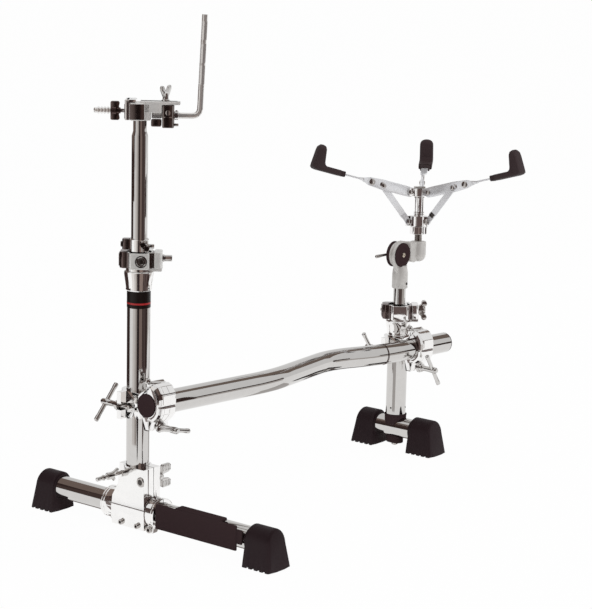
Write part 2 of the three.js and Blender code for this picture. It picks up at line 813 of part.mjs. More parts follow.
/** Body of a bar clamp: half of each ring and the web between them. */
function clampBody() {
  const size = barOffset * 2;
  const postHalf = common(postRing(), half('y', -1, size));
  const barHalf = tilted(common(barRing(), half('y', 1, size)));
  const web = box(clamp.webLeft, clamp.webRight, -barOffset, 0, -clamp.webHalf, clamp.ringTop);
  const webHalf = common(web, box(-size, size, splitGap / 2 - barOffset, -splitGap / 2, -size, size));
  const postThird = (clamp.ringTop - clamp.ringBottom) / 3;
  const barThird = (clamp.barRight - clamp.barLeft) / 3;
  const postKnuckles = knuckles('z', clamp.ringBottom, clamp.ringTop, false)
    .translate(clamp.knuckleOffset, 0, 0);
  const barHinge = knuckles('x', clamp.barLeft, clamp.barRight, false);
  const barKnuckles = tilted(barHinge.translate(0, 0, clamp.knuckleOffset));
  const postRoom = knuckleRoom('z', clamp.ringBottom + postThird, clamp.ringTop - postThird);
  const barRoom = knuckleRoom('x', clamp.barLeft + barThird, clamp.barRight - barThird);
  const postPin = hole('z', clamp.pinRadius, clamp.ringBottom, clamp.ringTop, smallSides);
  const barPin = hole('x', clamp.pinRadius, clamp.barLeft, clamp.barRight, smallSides);
  return cut(
    join(
      cut(postHalf, postRoom.translate(clamp.knuckleOffset, 0, 0)),
      webHalf,
      barHalf,
      postKnuckles,
      barKnuckles,
    ),
    ...postRingCuts(),
    ...barRingCuts().map(tilted),
    postPin.translate(clamp.knuckleOffset, 0, 0),
    tilted(barPin.translate(0, 0, clamp.knuckleOffset)),
    tilted(barRoom.translate(0, 0, clamp.knuckleOffset)),
  );
}

/** Hinged jaw over the post. */
function postJaw() {
  const third = (clamp.ringTop - clamp.ringBottom) / 3;
  const shell = cut(
    common(postRing(), half('y', 1, barOffset * 2)),
    ...postRingCuts(),
    knuckleRoom('z', clamp.ringBottom, clamp.ringBottom + third).translate(clamp.knuckleOffset, 0, 0),
    knuckleRoom('z', clamp.ringTop - third, clamp.ringTop).translate(clamp.knuckleOffset, 0, 0),
    washerRoom(1).translate(clamp.boltX, 0, (clamp.slotTop + clamp.slotBottom) / 2),
  );
  const postKnuckles = knuckles('z', clamp.ringBottom, clamp.ringTop, true)
    .translate(clamp.knuckleOffset, 0, 0);
  return join(shell, postKnuckles);
}

/** Hinged jaw over the bar. */
function barJaw() {
  const third = (clamp.barRight - clamp.barLeft) / 3;
  const shell = cut(
    common(barRing(), half('y', -1, barOffset * 2)),
    ...barRingCuts(),
    knuckleRoom('x', clamp.barLeft, clamp.barLeft + third).translate(0, 0, clamp.knuckleOffset),
    knuckleRoom('x', clamp.barRight - third, clamp.barRight).translate(0, 0, clamp.knuckleOffset),
    washerRoom(-1).translate((clamp.barSlotLeft + clamp.barSlotRight) / 2, 0, clamp.barBoltZ),
  );
  const hinge = knuckles('x', clamp.barLeft, clamp.barRight, true);
  return tilted(join(shell, hinge.translate(0, 0, clamp.knuckleOffset)));
}

/** T-bolt along Y, its cross rod turned about its own axis. */
function tBoltSolid(turn) {
  const shank = round('y', tBolt.shank, -tBolt.inner, tBolt.washerTo, smallSides);
  const washer = round('y', tBolt.washer, tBolt.washerFrom, tBolt.washerTo, smallSides);
  const barrel = round('y', tBolt.barrel, tBolt.washerTo - overrun, tBolt.end, smallSides);
  const cross = round('z', tBolt.cross, -tBolt.crossHalf, tBolt.crossHalf, smallSides)
    .translate(0, tBolt.crossAt, 0);
  return join(shank, washer, barrel, cross).rotateY(turn);
}

/** One bar clamp with its two T-bolts. */
function barClamp(parent, side, x, y, z, postTurn, barTurn) {
  const group = placed(parent, x, y, z, barPlanTurn);
  add(group, `${side}_clamp_body`, clampBody(), cast);
  add(group, `${side}_clamp_post_jaw`, postJaw(), cast);
  add(group, `${side}_clamp_bar_jaw`, barJaw(), cast);
  const boltHeight = (clamp.slotTop + clamp.slotBottom) / 2;
  add(group, `${side}_post_t_bolt`, tBoltSolid(postTurn).translate(clamp.boltX, 0, boltHeight), chrome);
  const boltAlong = (clamp.barSlotLeft + clamp.barSlotRight) / 2;
  const barBolt = tBoltSolid(barTurn).rotateZ(Math.PI).translate(boltAlong, 0, clamp.barBoltZ);
  add(group, `${side}_bar_t_bolt`, tilted(barBolt), chrome);
}

/** Bent bar and its end caps, in the bar's frame; it passes the right post at the given place. */
function bentBar(group, post) {
  const reach = post.x / Math.cos(barTilt);
  const end = reach + bar.pastRight;
  const points = [
    new THREE.Vector3(bar.left, 0, 0),
    new THREE.Vector3(reach * bar.firstBendShare, 0, 0),
    new THREE.Vector3(reach * bar.peakShare, bar.peakOut, 0),
    new THREE.Vector3(reach * bar.lastBendShare, post.y, 0),
    new THREE.Vector3(end, post.y, 0),
  ];
  const outline = circleOutline(tubeRadius, bar.sides, tubeRadius - tubeWall);
  const path = bentPath(points, bar.blend);
  const tube = new THREE.ExtrudeGeometry(outline, { steps: bar.steps, extrudePath: path });
  add(group, 'curved_bar', tube, chrome);
  const plugRadius = (tubeRadius - tubeWall) * Math.cos(Math.PI / bar.sides) - play;
  const cap = join(
    round('x', tubeRadius, -play - bar.capLip, -play),
    round('x', plugRadius, -play - overrun, bar.capPlug),
  );
  add(group, 'bar_left_cap', cap.clone().translate(bar.left, 0, 0), plastic);
  add(group, 'bar_right_cap', cap.clone().rotateZ(Math.PI).translate(end, post.y, 0), plastic);
}

/** Saddle between the right post and its foot bar. */
function postSaddle() {
  const ring = round('z', saddle.radius, saddle.foot, rightPost.foot - play);
  const plug = round('z', saddle.plugRadius * Math.cos(Math.PI / roundSides), saddle.foot, saddle.plugTop);
  const reach = saddle.radius + overrun;
  return cut(
    join(ring, plug),
    hole('y', tubeRadius, -reach, reach).translate(0, 0, footAxisHeight),
    hole('z', footBolt.radius, saddle.foot, saddle.plugTop, smallSides),
  );
}

/** Oval saddle under the right foot bar. */
function lowerSaddleSolid() {
  const sideLength = lowerSaddle.halfLength - lowerSaddle.halfWidth;
  const middle = box(-lowerSaddle.halfWidth, lowerSaddle.halfWidth, -sideLength, sideLength,
    lowerSaddle.foot, lowerSaddle.top);
  const end = (y) => round('z', lowerSaddle.halfWidth, lowerSaddle.foot, lowerSaddle.top).translate(0, y, 0);
  const reach = lowerSaddle.halfLength + overrun;
  return cut(
    join(middle, end(-sideLength), end(sideLength)),
    hole('y', tubeRadius, -reach, reach).translate(0, 0, footAxisHeight),
    hole('z', footBolt.radius, lowerSaddle.foot, lowerSaddle.top, smallSides),
  );
}

/** Bolt up through the right foot bar into the post. */
function footBoltSolid() {
  const shank = round('z', footBolt.radius, footBolt.foot, footBolt.top, smallSides);
  const seat = lowerSaddle.foot - play;
  return join(shank, round('z', footBolt.headRadius, seat - footBolt.headHeight, seat, smallSides));
}

/** Lower half of the tilter: a sleeve on the tube and an upright disc. */
function tilterBase() {
  const sleeve = round('z', tilter.sleeveRadius, tilter.sleeveFoot, tilter.sleeveTop);
  const shoulder = tilter.z - tilter.capRadius - overrun;
  const neck = round('z', tilter.neckRadius, tilter.sleeveTop - overrun, shoulder);
  const root = box(-tilter.neckRadius, tilter.neckRadius, tilter.baseNear, tilter.baseFar,
    shoulder - overrun, tilter.z - tilter.discRadius / 2);
  const disc = round('y', tilter.discRadius, tilter.baseNear, tilter.baseFar)
    .translate(tilter.x, 0, tilter.z);
  return cut(
    join(sleeve, neck, root, disc),
    round('z', holeRadius(seatTube.radius), tilter.sleeveFoot - overrun, seatTube.top + play),
    hole('y', tilter.boltRadius, tilter.baseNear, tilter.baseFar, smallSides)
      .translate(tilter.x, 0, tilter.z),
  );
}

/** Matrix that takes the basket's own frame into the right post's frame. */
function basketMatrix() {
  const lean = new THREE.Euler(basketLean.away, basketLean.side, 0);
  const turn = new THREE.Matrix4().makeRotationFromEuler(lean);
  return turn.setPosition(basketAt.x, basketAt.y, basketAt.z);
}

/** Upper half of the tilter with the threaded rod of the basket. */
function tilterArm() {
  const disc = round('y', tilter.discRadius, tilter.armNear, tilter.armFar).translate(tilter.x, 0, tilter.z);
  const clear = tilter.x + tilter.discRadius + play;
  const web = box(tilter.x, basketAt.x, tilter.armNear, tilter.armFar, tilter.webFoot, tilter.webTop);
  const heel = box(clear, basketAt.x, tilter.baseNear, tilter.armFar, tilter.webFoot, tilter.webTop);
  const upright = join(
    round('z', boss.radius, boss.foot, boss.top),
    round('z', spindle.radius, boss.top - overrun, spindle.shoulder, smallSides),
    round('z', spindle.tipRadius, spindle.shoulder - overrun, spindle.tip, smallSides),
  ).applyMatrix4(basketMatrix());
  const bolt = hole('y', tilter.boltRadius, tilter.armNear, tilter.armFar, smallSides);
  return cut(join(disc, web, heel, upright), bolt.translate(tilter.x, 0, tilter.z));
}

/** Bolt of the tilter with its cap in front and its washer and lever behind. */
function tilterLever() {
  const cap = round('y', tilter.capRadius, tilter.capNear, tilter.baseNear - play);
  const shank = round('y', tilter.boltRadius, tilter.capNear, tilter.boltEnd, smallSides);
  const washer = round('y', tilter.capRadius, tilter.armFar + play, tilter.backFar);
  const leverAt = (tilter.backFar + tilter.boltEnd) / 2;
  const lever = round('x', tilter.leverRadius, -tilter.leverReach, 0, smallSides).translate(0, leverAt, 0);
  const ball = new THREE.SphereGeometry(tilter.leverBall, smallSides, smallSides / 2);
  ball.translate(-tilter.leverReach, leverAt, 0);
  return join(cap, shank, washer, lever, ball).translate(tilter.x, 0, tilter.z);
}

/** Lobed nut under the basket. */
function basketNut() {
  const step = Math.PI / nut.lobes;
  const outline = Array.from({ length: nut.lobes * 4 }, (_, i) => {
    const angle = (i * step) / 2;
    const reach = nut.radius - (i % 4 === 2 ? overrun : 0);
    return [reach * Math.cos(angle), reach * Math.sin(angle)];
  });
  return cut(slab('z', outline, nut.foot, nut.top), hole('z', spindle.radius, nut.foot, nut.top, smallSides));
}

/** Turns a geometry from the plane of X and Z to the direction of one arm. */
const toArm = (geometry, index) => geometry.rotateZ(arms.turn + (2 * Math.PI * index) / arms.count);
const armNumbers = Array.from({ length: arms.count }, (_, index) => index);

/** Hub at the top of the basket with its sleeve, slots, ears and pins. */
function upperHubSolid() {
  const hub = round('z', upperHub.radius, upperHub.foot, upperHub.top);
  const sleeve = round('z', upperHub.sleeve, spindle.shoulder + play, upperHub.top);
  const slotFrom = arms.pivotRadius - arms.stripHalf - play;
  const slotHalf = arms.stripThick / 2 + play;
  const earReach = arms.pivotRadius + arms.ear;
  const middle = (upperHub.foot + upperHub.top) / 2;
  const slots = armNumbers.map((i) => toArm(box(slotFrom, earReach, -upperHub.radius, slotHalf,
    upperHub.foot - overrun, upperHub.top + overrun), i));
  const ears = armNumbers.map((i) => toArm(join(
    box(upperHub.radius / 2, earReach, slotHalf, slotHalf + arms.ear, upperHub.foot, upperHub.top),
    round('y', arms.pin, -slotHalf, slotHalf + arms.ear, smallSides).translate(arms.pivotRadius, 0, middle),
  ), i));
  const bore = hole('z', spindle.tipRadius, spindle.shoulder, upperHub.top, smallSides);
  return cut(join(cut(hub, ...slots), sleeve, ...ears), bore);
}

/** Hub that slides on the sleeve and carries the struts. */
function lowerHubSolid() {
  const hub = round('z', lowerHub.radius, lowerHub.foot, lowerHub.top);
  const near = arms.stripThick / 2;
  const far = near + play + strut.thick + play;
  const earReach = strut.pivotRadius + arms.ear;
  const slotFrom = strut.pivotRadius - strut.endRadius - play;
  const slots = armNumbers.map((i) => toArm(box(slotFrom, earReach, -far, -near,
    lowerHub.foot - overrun, lowerHub.top + overrun), i));
  const ears = armNumbers.map((i) => toArm(join(
    box(lowerHub.radius / 2, earReach, -far - arms.ear, -far, lowerHub.foot, lowerHub.top),
    round('y', arms.pin, -far - arms.ear, -near, smallSides)
      .translate(strut.pivotRadius, 0, strut.pivotHeight),
  ), i));
  return cut(join(cut(hub, ...slots), ...ears), hole('z', upperHub.sleeve, lowerHub.foot, lowerHub.top));
}

/** Strip that stands on edge at the hub and twists flat towards the grip. */
function armSolid() {
  const thin = arms.stripThick / 2;
  const stations = [];
  for (let i = 0; i <= arms.twistSteps; i += 1) {
    const share = i / arms.twistSteps;
    const angle = (share * Math.PI) / 2;
    stations.push([arms.stripEnd + share * (arms.twistEnd - arms.stripEnd), angle]);
  }
  stations.push([arms.flatEnd, Math.PI / 2]);
  const sections = stations.map(([along, angle]) => {
    const wide = arms.stripHalf + (arms.flatHalf - arms.stripHalf) * (angle / (Math.PI / 2));
    return [[-thin, -wide], [thin, -wide], [thin, wide], [-thin, wide]].map(([y, z]) => [
      along,
      y * Math.cos(angle) - z * Math.sin(angle),
      y * Math.sin(angle) + z * Math.cos(angle),
    ]);
  });
  const twist = loft(sections);
  const strip = box(0, arms.stripEnd + play, -thin, thin, -arms.stripHalf, arms.stripHalf);
  const eye = round('y', arms.stripHalf, -thin, thin, roundSides);
  return cut(join(strip, eye, twist), hole('y', arms.pin, -arms.stripThick, arms.stripThick, smallSides));
}

/** Closed skin over four-cornered sections that follow each other. */
function loft(sections) {
  const positions = sections.flat(2);
  const index = [];
  const last = (sections.length - 1) * 4;
  for (let s = 0; s < last; s += 4) {
    for (let k = 0; k < 4; k += 1) {
      const next = (k + 1) % 4;
      index.push(s + k, s + next, s + 4 + next, s + k, s + 4 + next, s + 4 + k);
    }
  }
  index.push(0, 2, 1, 0, 3, 2, last, last + 1, last + 2, last, last + 2, last + 3);
  const geometry = new THREE.BufferGeometry();
  geometry.setAttribute('position', new THREE.BufferAttribute(new Float32Array(positions), 3));
  geometry.setIndex(index);
  geometry.computeVertexNormals();
  return geometry;
}

/** Rubber grip pushed on the end of an arm. */
function gripSolid() {
  const outline = [
    [grip.from, -grip.under], [grip.outerKnee, -grip.under], [grip.to, 0], [grip.outerTop, grip.rise],
    [grip.innerTop, grip.rise], [grip.innerFoot, grip.over], [grip.from, grip.over],
  ];
  const pocket = box(grip.from - overrun, arms.flatEnd + play, -arms.flatHalf - play, arms.flatHalf + play,
    -arms.stripThick / 2 - play, arms.stripThick / 2 + play);
  return cut(slab('y', outline, -grip.halfWidth, grip.halfWidth), pocket);
}

/** Strut from the lower hub to an arm, in the plane of X and Z at its pivot. */
function strutSolid() {
  const reach = Math.hypot(strut.rivetRadius - strut.pivotRadius, strut.rivetHeight - strut.pivotHeight);
  const lean = Math.atan2(strut.rivetRadius - strut.pivotRadius, strut.rivetHeight - strut.pivotHeight);
  const near = arms.stripThick / 2 + play;
  const far = near + strut.thick;
  const blade = box(-strut.half, strut.half, -far, -near, 0, reach);
  const eye = (z) => round('y', strut.endRadius, -far, -near, roundSides).translate(0, 0, z);
  const pin = hole('y', arms.pin, -far, -near, smallSides);
  const body = cut(join(blade, eye(0), eye(reach)), pin);
  return body.rotateY(lean).translate(strut.pivotRadius, 0, strut.pivotHeight);
}

// Assembly
const rack = new THREE.Group();
const left = placed(rack, 0, 0, 0);
const right = placed(rack, rackSpan, -rightSetback, 0);

foot(left, 'left', leftBoots);
add(left, 'name_plate', namePlate(), plastic);
add(left, 'base_clamp_front', baseFront(), cast);
add(left, 'base_clamp_rear', baseRear(), cast);
add(left, 'base_rear_wing_bolt', rearWingBolt(), chrome);
add(left, 'base_front_wing_bolt', frontWingBolt(), chrome);
add(left, 'left_post_tube', pipe(tubeRadius, tubeWall, leftPost.foot, leftPost.top), chrome);

const leftUpper = placed(left, 0, 0, 0, upperTurn);
add(leftUpper, 'left_height_casting', heightCasting(leftCasting, stem.radius), cast);
add(leftUpper, 'left_height_bolt', pinchBolt(leftCasting, false), chrome);
add(leftUpper, 'left_height_bush', bushSolid(leftPost.top, stem.radius), nylon);
add(leftUpper, 'tom_stem', stemTube(), chrome);
add(leftUpper, 'left_memory_lock', memoryLock(), cast);
add(leftUpper, 'bracket_body', bracketBody(), cast);
add(leftUpper, 'bracket_clamp_block', strapBlock(), chrome);
add(leftUpper, 'bracket_wing_bolt', strapWingBolt(), chrome);
add(leftUpper, 'rod_clamp_block', rodClampBlock(), cast);
add(leftUpper, 'rod_wing_bolt', rodWingBolt(), chrome);
add(leftUpper, 'rod_memory_collar', rodCollar(), cast);
add(leftUpper, 'tom_rod', tomRod(), chrome);

const along = new THREE.Vector2(rackSpan, -rightSetback).rotateAround(new THREE.Vector2(), -barPlanTurn);
const rightBarHeight = barHeight - along.x * Math.tan(barTilt);
barClamp(left, 'left', 0, 0, barHeight, handleTurn.leftPost, handleTurn.leftBar);
const barFrame = placed(left, 0, 0, barHeight, barPlanTurn);
const barGroup = placed(barFrame, 0, -barOffset, 0);
barGroup.rotation.y = barTilt;
bentBar(barGroup, along);
barClamp(right, 'right', 0, 0, rightBarHeight, handleTurn.rightPost, handleTurn.rightBar);

foot(right, 'right', rightBoots, hole('z', footBolt.radius, 0, footAxisHeight * 2, smallSides));
add(right, 'post_saddle', postSaddle(), plastic);
add(right, 'lower_saddle', lowerSaddleSolid(), plastic);
add(right, 'foot_bolt', footBoltSolid(), chrome);
add(right, 'right_post_tube', pipe(tubeRadius, tubeWall, rightPost.foot, rightPost.top), chrome);

const rightUpper = placed(right, 0, 0, 0, upperTurn);
add(rightUpper, 'right_height_casting', heightCasting(rightCasting, seatTube.radius), cast);
add(rightUpper, 'right_height_wing_bolt', pinchBolt(rightCasting, true), chrome);
add(rightUpper, 'right_height_bush', bushSolid(rightPost.top, seatTube.radius), nylon);
add(right, 'seat_tube', pipe(seatTube.radius, seatTube.wall, seatTube.bottom, seatTube.top), chrome);
add(right, 'tilter_base', tilterBase(), cast);
add(right, 'tilter_arm', tilterArm(), cast);
add(right, 'tilter_lever_bolt', tilterLever(), plastic);

const basket = new THREE.Group();
basketMatrix().decompose(basket.position, basket.quaternion, basket.scale);
right.add(basket);
add(basket, 'basket_nut', basketNut(), cast);
add(basket, 'upper_hub', upperHubSolid(), cast);
add(basket, 'lower_hub', lowerHubSolid(), cast);
for (const i of armNumbers) {
  const lift = (geometry) => {
    geometry.rotateY(-arms.rise);
    return toArm(geometry.translate(arms.pivotRadius, 0, arms.pivotHeight), i);
  };
  add(basket, `basket_arm_${i + 1}`, lift(armSolid()), chrome);
  add(basket, `basket_grip_${i + 1}`, lift(gripSolid()), rubber);
  add(basket, `basket_strut_${i + 1}`, toArm(strutSolid(), i), chrome);
}

// The origin lies on the floor under the middle of the rack's box
const bounds = new THREE.Box3().setFromObject(rack, true);
const centre = bounds.getCenter(new THREE.Vector3());
rack.position.set(-centre.x, -centre.y, -bounds.min.z);

export default rack;
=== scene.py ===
"""Looks of the drum rack frame: polished tubes and castings, rubber boots and grips, on a white floor."""

import json
import logging
import math
from collections.abc import Callable
from dataclasses import dataclass
from enum import Enum

import bmesh
import bpy
from mathutils import Matrix, Vector

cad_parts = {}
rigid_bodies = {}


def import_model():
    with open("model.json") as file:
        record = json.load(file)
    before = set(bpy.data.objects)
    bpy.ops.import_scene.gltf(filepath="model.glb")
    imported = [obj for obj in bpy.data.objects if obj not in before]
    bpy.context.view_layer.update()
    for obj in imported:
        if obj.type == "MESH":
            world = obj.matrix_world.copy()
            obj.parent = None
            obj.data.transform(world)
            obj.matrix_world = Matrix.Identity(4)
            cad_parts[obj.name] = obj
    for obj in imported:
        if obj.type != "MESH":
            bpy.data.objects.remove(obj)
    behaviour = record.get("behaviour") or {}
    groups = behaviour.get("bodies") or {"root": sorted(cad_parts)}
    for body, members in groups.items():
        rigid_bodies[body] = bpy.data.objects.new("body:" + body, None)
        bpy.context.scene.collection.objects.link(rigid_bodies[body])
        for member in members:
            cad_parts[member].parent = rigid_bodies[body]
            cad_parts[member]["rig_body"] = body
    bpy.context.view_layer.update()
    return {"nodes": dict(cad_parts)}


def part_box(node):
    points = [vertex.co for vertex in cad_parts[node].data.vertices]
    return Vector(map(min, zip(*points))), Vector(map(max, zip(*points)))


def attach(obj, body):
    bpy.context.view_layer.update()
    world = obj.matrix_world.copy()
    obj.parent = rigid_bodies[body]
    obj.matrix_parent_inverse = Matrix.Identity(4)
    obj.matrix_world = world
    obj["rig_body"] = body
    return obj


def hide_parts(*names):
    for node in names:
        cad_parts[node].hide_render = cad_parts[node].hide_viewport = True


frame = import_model()
log = logging.getLogger("drum_rack")

Point = tuple[float, float, float]
Pair = tuple[float, float]
Profile = list[Pair]
ORIGIN: Point = (0, 0, 0)
MILLIMETRE = 0.001
TUBE_RADIUS = 19.05
TUBE_WALL = 2.0
BAR_CENTRE: Point = (0, 0, 39.8)
SHARP = 32.0


def shift(x: float = 0, y: float = 0, z: float = 0) -> Matrix:
    """Matrix that moves along the axes."""
    return Matrix.Translation((x, y, z))


def turned(degrees: float, axis: str = "Z") -> Matrix:
    """Matrix that turns about an axis."""
    return Matrix.Rotation(math.radians(degrees), 4, axis)


def on_circle(radius: float, degrees: float) -> Pair:
    """Point of a circle round zero."""
    return radius * math.cos(math.radians(degrees)), radius * math.sin(math.radians(degrees))


def bend(start: Vector, corner: Vector, end: Vector, steps: int) -> list[Vector]:
    """Points of a rounded corner, from its start to its end."""
    shares = [i / steps for i in range(steps + 1)]
    return [start * (1 - t) ** 2 + corner * 2 * t * (1 - t) + end * t ** 2 for t in shares]


def put(name: str, data: bpy.types.ID) -> bpy.types.Object:
    """Puts an object in the scene.

    Args:
        name: its name.
        data: its mesh, camera or light.

    Returns:
        The object.
    """
    made = bpy.data.objects.new(name, data)
    bpy.context.scene.collection.objects.link(made)
    return made


class Slot(Enum):
    """Material slots of the record."""

    TUBE = "chrome_tube"
    CASTING = "chrome_casting"
    RUBBER = "rubber"
    PLASTIC = "black_plastic"
    NYLON = "nylon"


class Axis(Enum):
    """Directions that a round shape may lie along."""

    X = "X"
    Y = "Y"
    Z = "Z"

    def matrix(self) -> Matrix:
        """Turn that brings Z onto this axis."""
        return {Axis.X: turned(90, "Y"), Axis.Y: turned(-90, "X"), Axis.Z: Matrix.Identity(4)}[self]


LEFTWARD = Axis.X.matrix() @ turned(180, "X")


@dataclass(frozen=True)
class Places:
    """Frames of the rack's parts, each taking millimetres to the row frame; angles are in degrees."""

    post_span: float = 716.8
    setback: float = 4.4
    upper_turn: float = -51.0
    bar_heights: Pair = (225.8, 202.41)
    bar_offset: float = 51.6
    bar_turn: float = -2.0
    bar_tilt: float = 1.87
    basket_at: Point = (55.5, -0.2, 361.0)
    basket_lean: Pair = (-2.6, 3.2)
    first_arm: float = 31.8

    def span(self, node: str, base: Matrix) -> tuple[Vector, Vector]:
        """Lowest and highest corners of a CAD node in an upright frame.

        Args:
            node: the CAD node.
            base: the frame, unturned.

        Returns:
            The two corners in millimetres.
        """
        low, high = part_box(node)
        back = base.inverted()
        return back @ low, back @ high

    def post(self, right: bool) -> Matrix:
        """Frame of a post, with its zero on the floor.

        Args:
            right: True for the right post.

        Returns:
            The frame.
        """
        low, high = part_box("left_post_tube")
        middle = (low + high) / 2
        left = shift(middle.x, middle.y) @ Matrix.Scale(MILLIMETRE, 4)
        return left @ shift(self.post_span, -self.setback) if right else left

    def casting(self, right: bool) -> Matrix:
        """Frame of the castings on a post, which face the other way."""
        return self.post(right) @ turned(self.upper_turn)

    def clamp(self, right: bool) -> Matrix:
        """Frame of a bar clamp, in the middle of its post at the bar's height."""
        return self.post(right) @ shift(z=self.bar_heights[right]) @ turned(self.bar_turn)

    def bar(self, right: bool) -> Matrix:
        """Frame of a clamp's ring on the bar; the left one's lies along the bar's first straight."""
        return self.clamp(right) @ shift(y=-self.bar_offset) @ turned(self.bar_tilt, "Y")

    def basket(self) -> Matrix:
        """Frame of the basket, leaning on its arm."""
        away, side = self.basket_lean
        return self.post(True) @ Matrix.Translation(self.basket_at) @ turned(away, "X") @ turned(side, "Y")

    def arm(self, index: int) -> Matrix:
        """Frame of one basket arm's upright plane."""
        return self.basket() @ turned(self.first_arm + 120 * index)


class Form:
    """A mesh being made in millimetres in one of the rack's frames. Its shapes are added one after another."""

    WELD = 0.0005

    def __init__(self) -> None:
        """Starts with nothing."""
        self.bm = bmesh.new()

    def lathe(self, profile: Profile, axis: Axis = Axis.Z, at: Point = ORIGIN, steps: int = 64,
              closed: bool = False) -> "Form":
        """Adds a turned shape from radii and heights.

        Args:
            profile: pairs of radius and height along the axis.
            axis: direction of the axis.
            at: where its zero lies.
            steps: faces round it.
            closed: True when the profile is a ring of wall, such as a tube's.

        Returns:
            This form.
        """
        before = set(self.bm.verts)
        verts = [self.bm.verts.new((r, 0, z)) for r, z in profile]
        pairs = list(zip(verts, verts[1:] + verts[:1]))
        edges = [self.bm.edges.new(pair) for pair in (pairs if closed else pairs[:-1])]
        bmesh.ops.spin(self.bm, geom=verts + edges, cent=ORIGIN, axis=(0, 0, 1), angle=math.tau,
                       steps=steps, use_merge=True)
        fresh = [v for v in self.bm.verts if v not in before]
        bmesh.ops.remove_doubles(self.bm, verts=fresh, dist=self.WELD)
        fresh = [v for v in self.bm.verts if v not in before]
        bmesh.ops.transform(self.bm, matrix=Matrix.Translation(at) @ axis.matrix(), verts=fresh)
        return self

    def ring(self, inner: float, outer: float, low: float, high: float, slope: float, axis: Axis = Axis.Z,
             at: Point = ORIGIN, steps: int = 64) -> "Form":
        """Adds a ring whose sides slope.

        Args:
            inner: radius of its foot.
            outer: radius of its top.
            low: start along the axis.
            high: end along the axis.
            slope: length of each side along the axis.
            axis: its direction.
            at: where the axis starts.
            steps: faces round it.

        Returns:
            This form.
        """
        profile = [(inner, low), (outer, low + slope), (outer, high - slope), (inner, high)]
        return self.lathe(profile, axis, at, steps, closed=True)

    def rod(self, radius: float, low: float, high: float, axis: Axis = Axis.Z, at: Point = ORIGIN,
            round_off: float = 0.6, steps: int = 48) -> "Form":
        """Adds a round bar with rounded ends.

        Args:
            radius: of the bar.
            low: start along the axis.
            high: end along the axis.
            axis: its direction.
            at: where the axis starts.
            round_off: radius of the ends' edges.
            steps: faces round it.

        Returns:
            This form.
        """
        c = min(round_off, radius * 0.9, (high - low) * 0.45)
        s = (1 - math.sqrt(0.5)) * c
        end = [(0, 0), (radius - c, 0), (radius - s, s), (radius, c)]
        profile = [(r, low + z) for r, z in end] + [(r, high - z) for r, z in reversed(end)]
        return self.lathe(profile, axis, at, steps)

    def tube(self, wall: float, radius: float, low: float, high: float, axis: Axis = Axis.Z,
             at: Point = ORIGIN) -> "Form":
        """Adds a round tube with softened lips.

        Args:
            wall: thickness.
            radius: outer radius.
            low: start along the axis.
            high: end along the axis.
            axis: its direction.
            at: where the axis starts.

        Returns:
            This form.
        """
        inner, c = radius - wall, min(0.4, wall * 0.3)
        end = [(inner, 0), (radius - c, 0), (radius, c)]
        profile = [(r, low + z) for r, z in end] + [(r, high - z) for r, z in reversed(end)]
        return self.lathe(profile, axis, at, 96, closed=True)

    def _round(self, verts: list, edge: float, segments: int) -> "Form":
        """Rounds all edges at vertices just made.

        Args:
            verts: the vertices.
            edge: radius of the edges.
            segments: faces across each edge.

        Returns:
            This form.
        """
        edges = list({e for v in verts for e in v.link_edges})
        bmesh.ops.bevel(self.bm, geom=edges, offset=edge, segments=segments, profile=0.5, affect="EDGES",
                        material=-1, clamp_overlap=True)
        return self

    def box(self, low: Point, high: Point, edge: float = 0.6, segments: int = 2) -> "Form":
        """Adds a block between two corners with rounded edges.

        Args:
            low: lowest corner.
            high: highest corner.
            edge: radius of its edges.
            segments: faces across each edge.

        Returns:
            This form.
        """
        made = bmesh.ops.create_cube(self.bm, size=1)["verts"]
        size = [b - a for a, b in zip(low, high)]
        middle = [(a + b) / 2 for a, b in zip(low, high)]
        bmesh.ops.transform(self.bm, matrix=shift(*middle) @ Matrix.Diagonal((*size, 1)), verts=made)
        return self._round(made, min(edge, min(size) * 0.45), segments)

    def slab(self, outline: Profile, low: float, high: float, axis: Axis = Axis.Z, edge: float = 0.6,
             segments: int = 2) -> "Form":
        """Adds a plate with an outline across an axis: (y, z) for X, (x, z) for Y, (x, y) for Z.

        Args:
            outline: corners in order.
            low: start along the axis.
            high: end along the axis.
            axis: direction of the thickness.
            edge: radius of its edges.
            segments: faces across each edge.

        Returns:
            This form.
        """
        place = ("X", "Y", "Z").index(axis.value)
        verts = [self.bm.verts.new((*pair[:place], low, *pair[place:])) for pair in outline]
        made = bmesh.ops.extrude_face_region(self.bm, geom=[self.bm.faces.new(verts)])["geom"]
        top = [g for g in made if isinstance(g, bmesh.types.BMVert)]
        move = [0.0, 0.0, 0.0]
        move[place] = high - low
        bmesh.ops.translate(self.bm, vec=move, verts=top)
        bmesh.ops.recalc_face_normals(self.bm, faces=list({f for v in verts + top for f in v.link_faces}))
        return self._round(verts + top, edge, segments)

    def loft(self, sections: list[list[Point]]) -> "Form":
        """Adds a closed skin over sections that follow each other, flat at both ends.

        Args:
            sections: rings of points, each with as many points as the first.

        Returns:
            This form.
        """
        rings = []
        for section in sections:
            verts = [self.bm.verts.new(point) for point in section]
            rings.append((verts, [self.bm.edges.new(pair) for pair in zip(verts, verts[1:] + verts[:1])]))
        for (_, first), (_, second) in zip(rings, rings[1:]):
            bmesh.ops.bridge_loops(self.bm, edges=first + second)
        for verts, _ in (rings[0], rings[-1]):
            self.bm.faces.new(verts)
        whole = {f for verts, _ in rings for v in verts for f in v.link_faces}
        bmesh.ops.recalc_face_normals(self.bm, faces=list(whole))
        return self

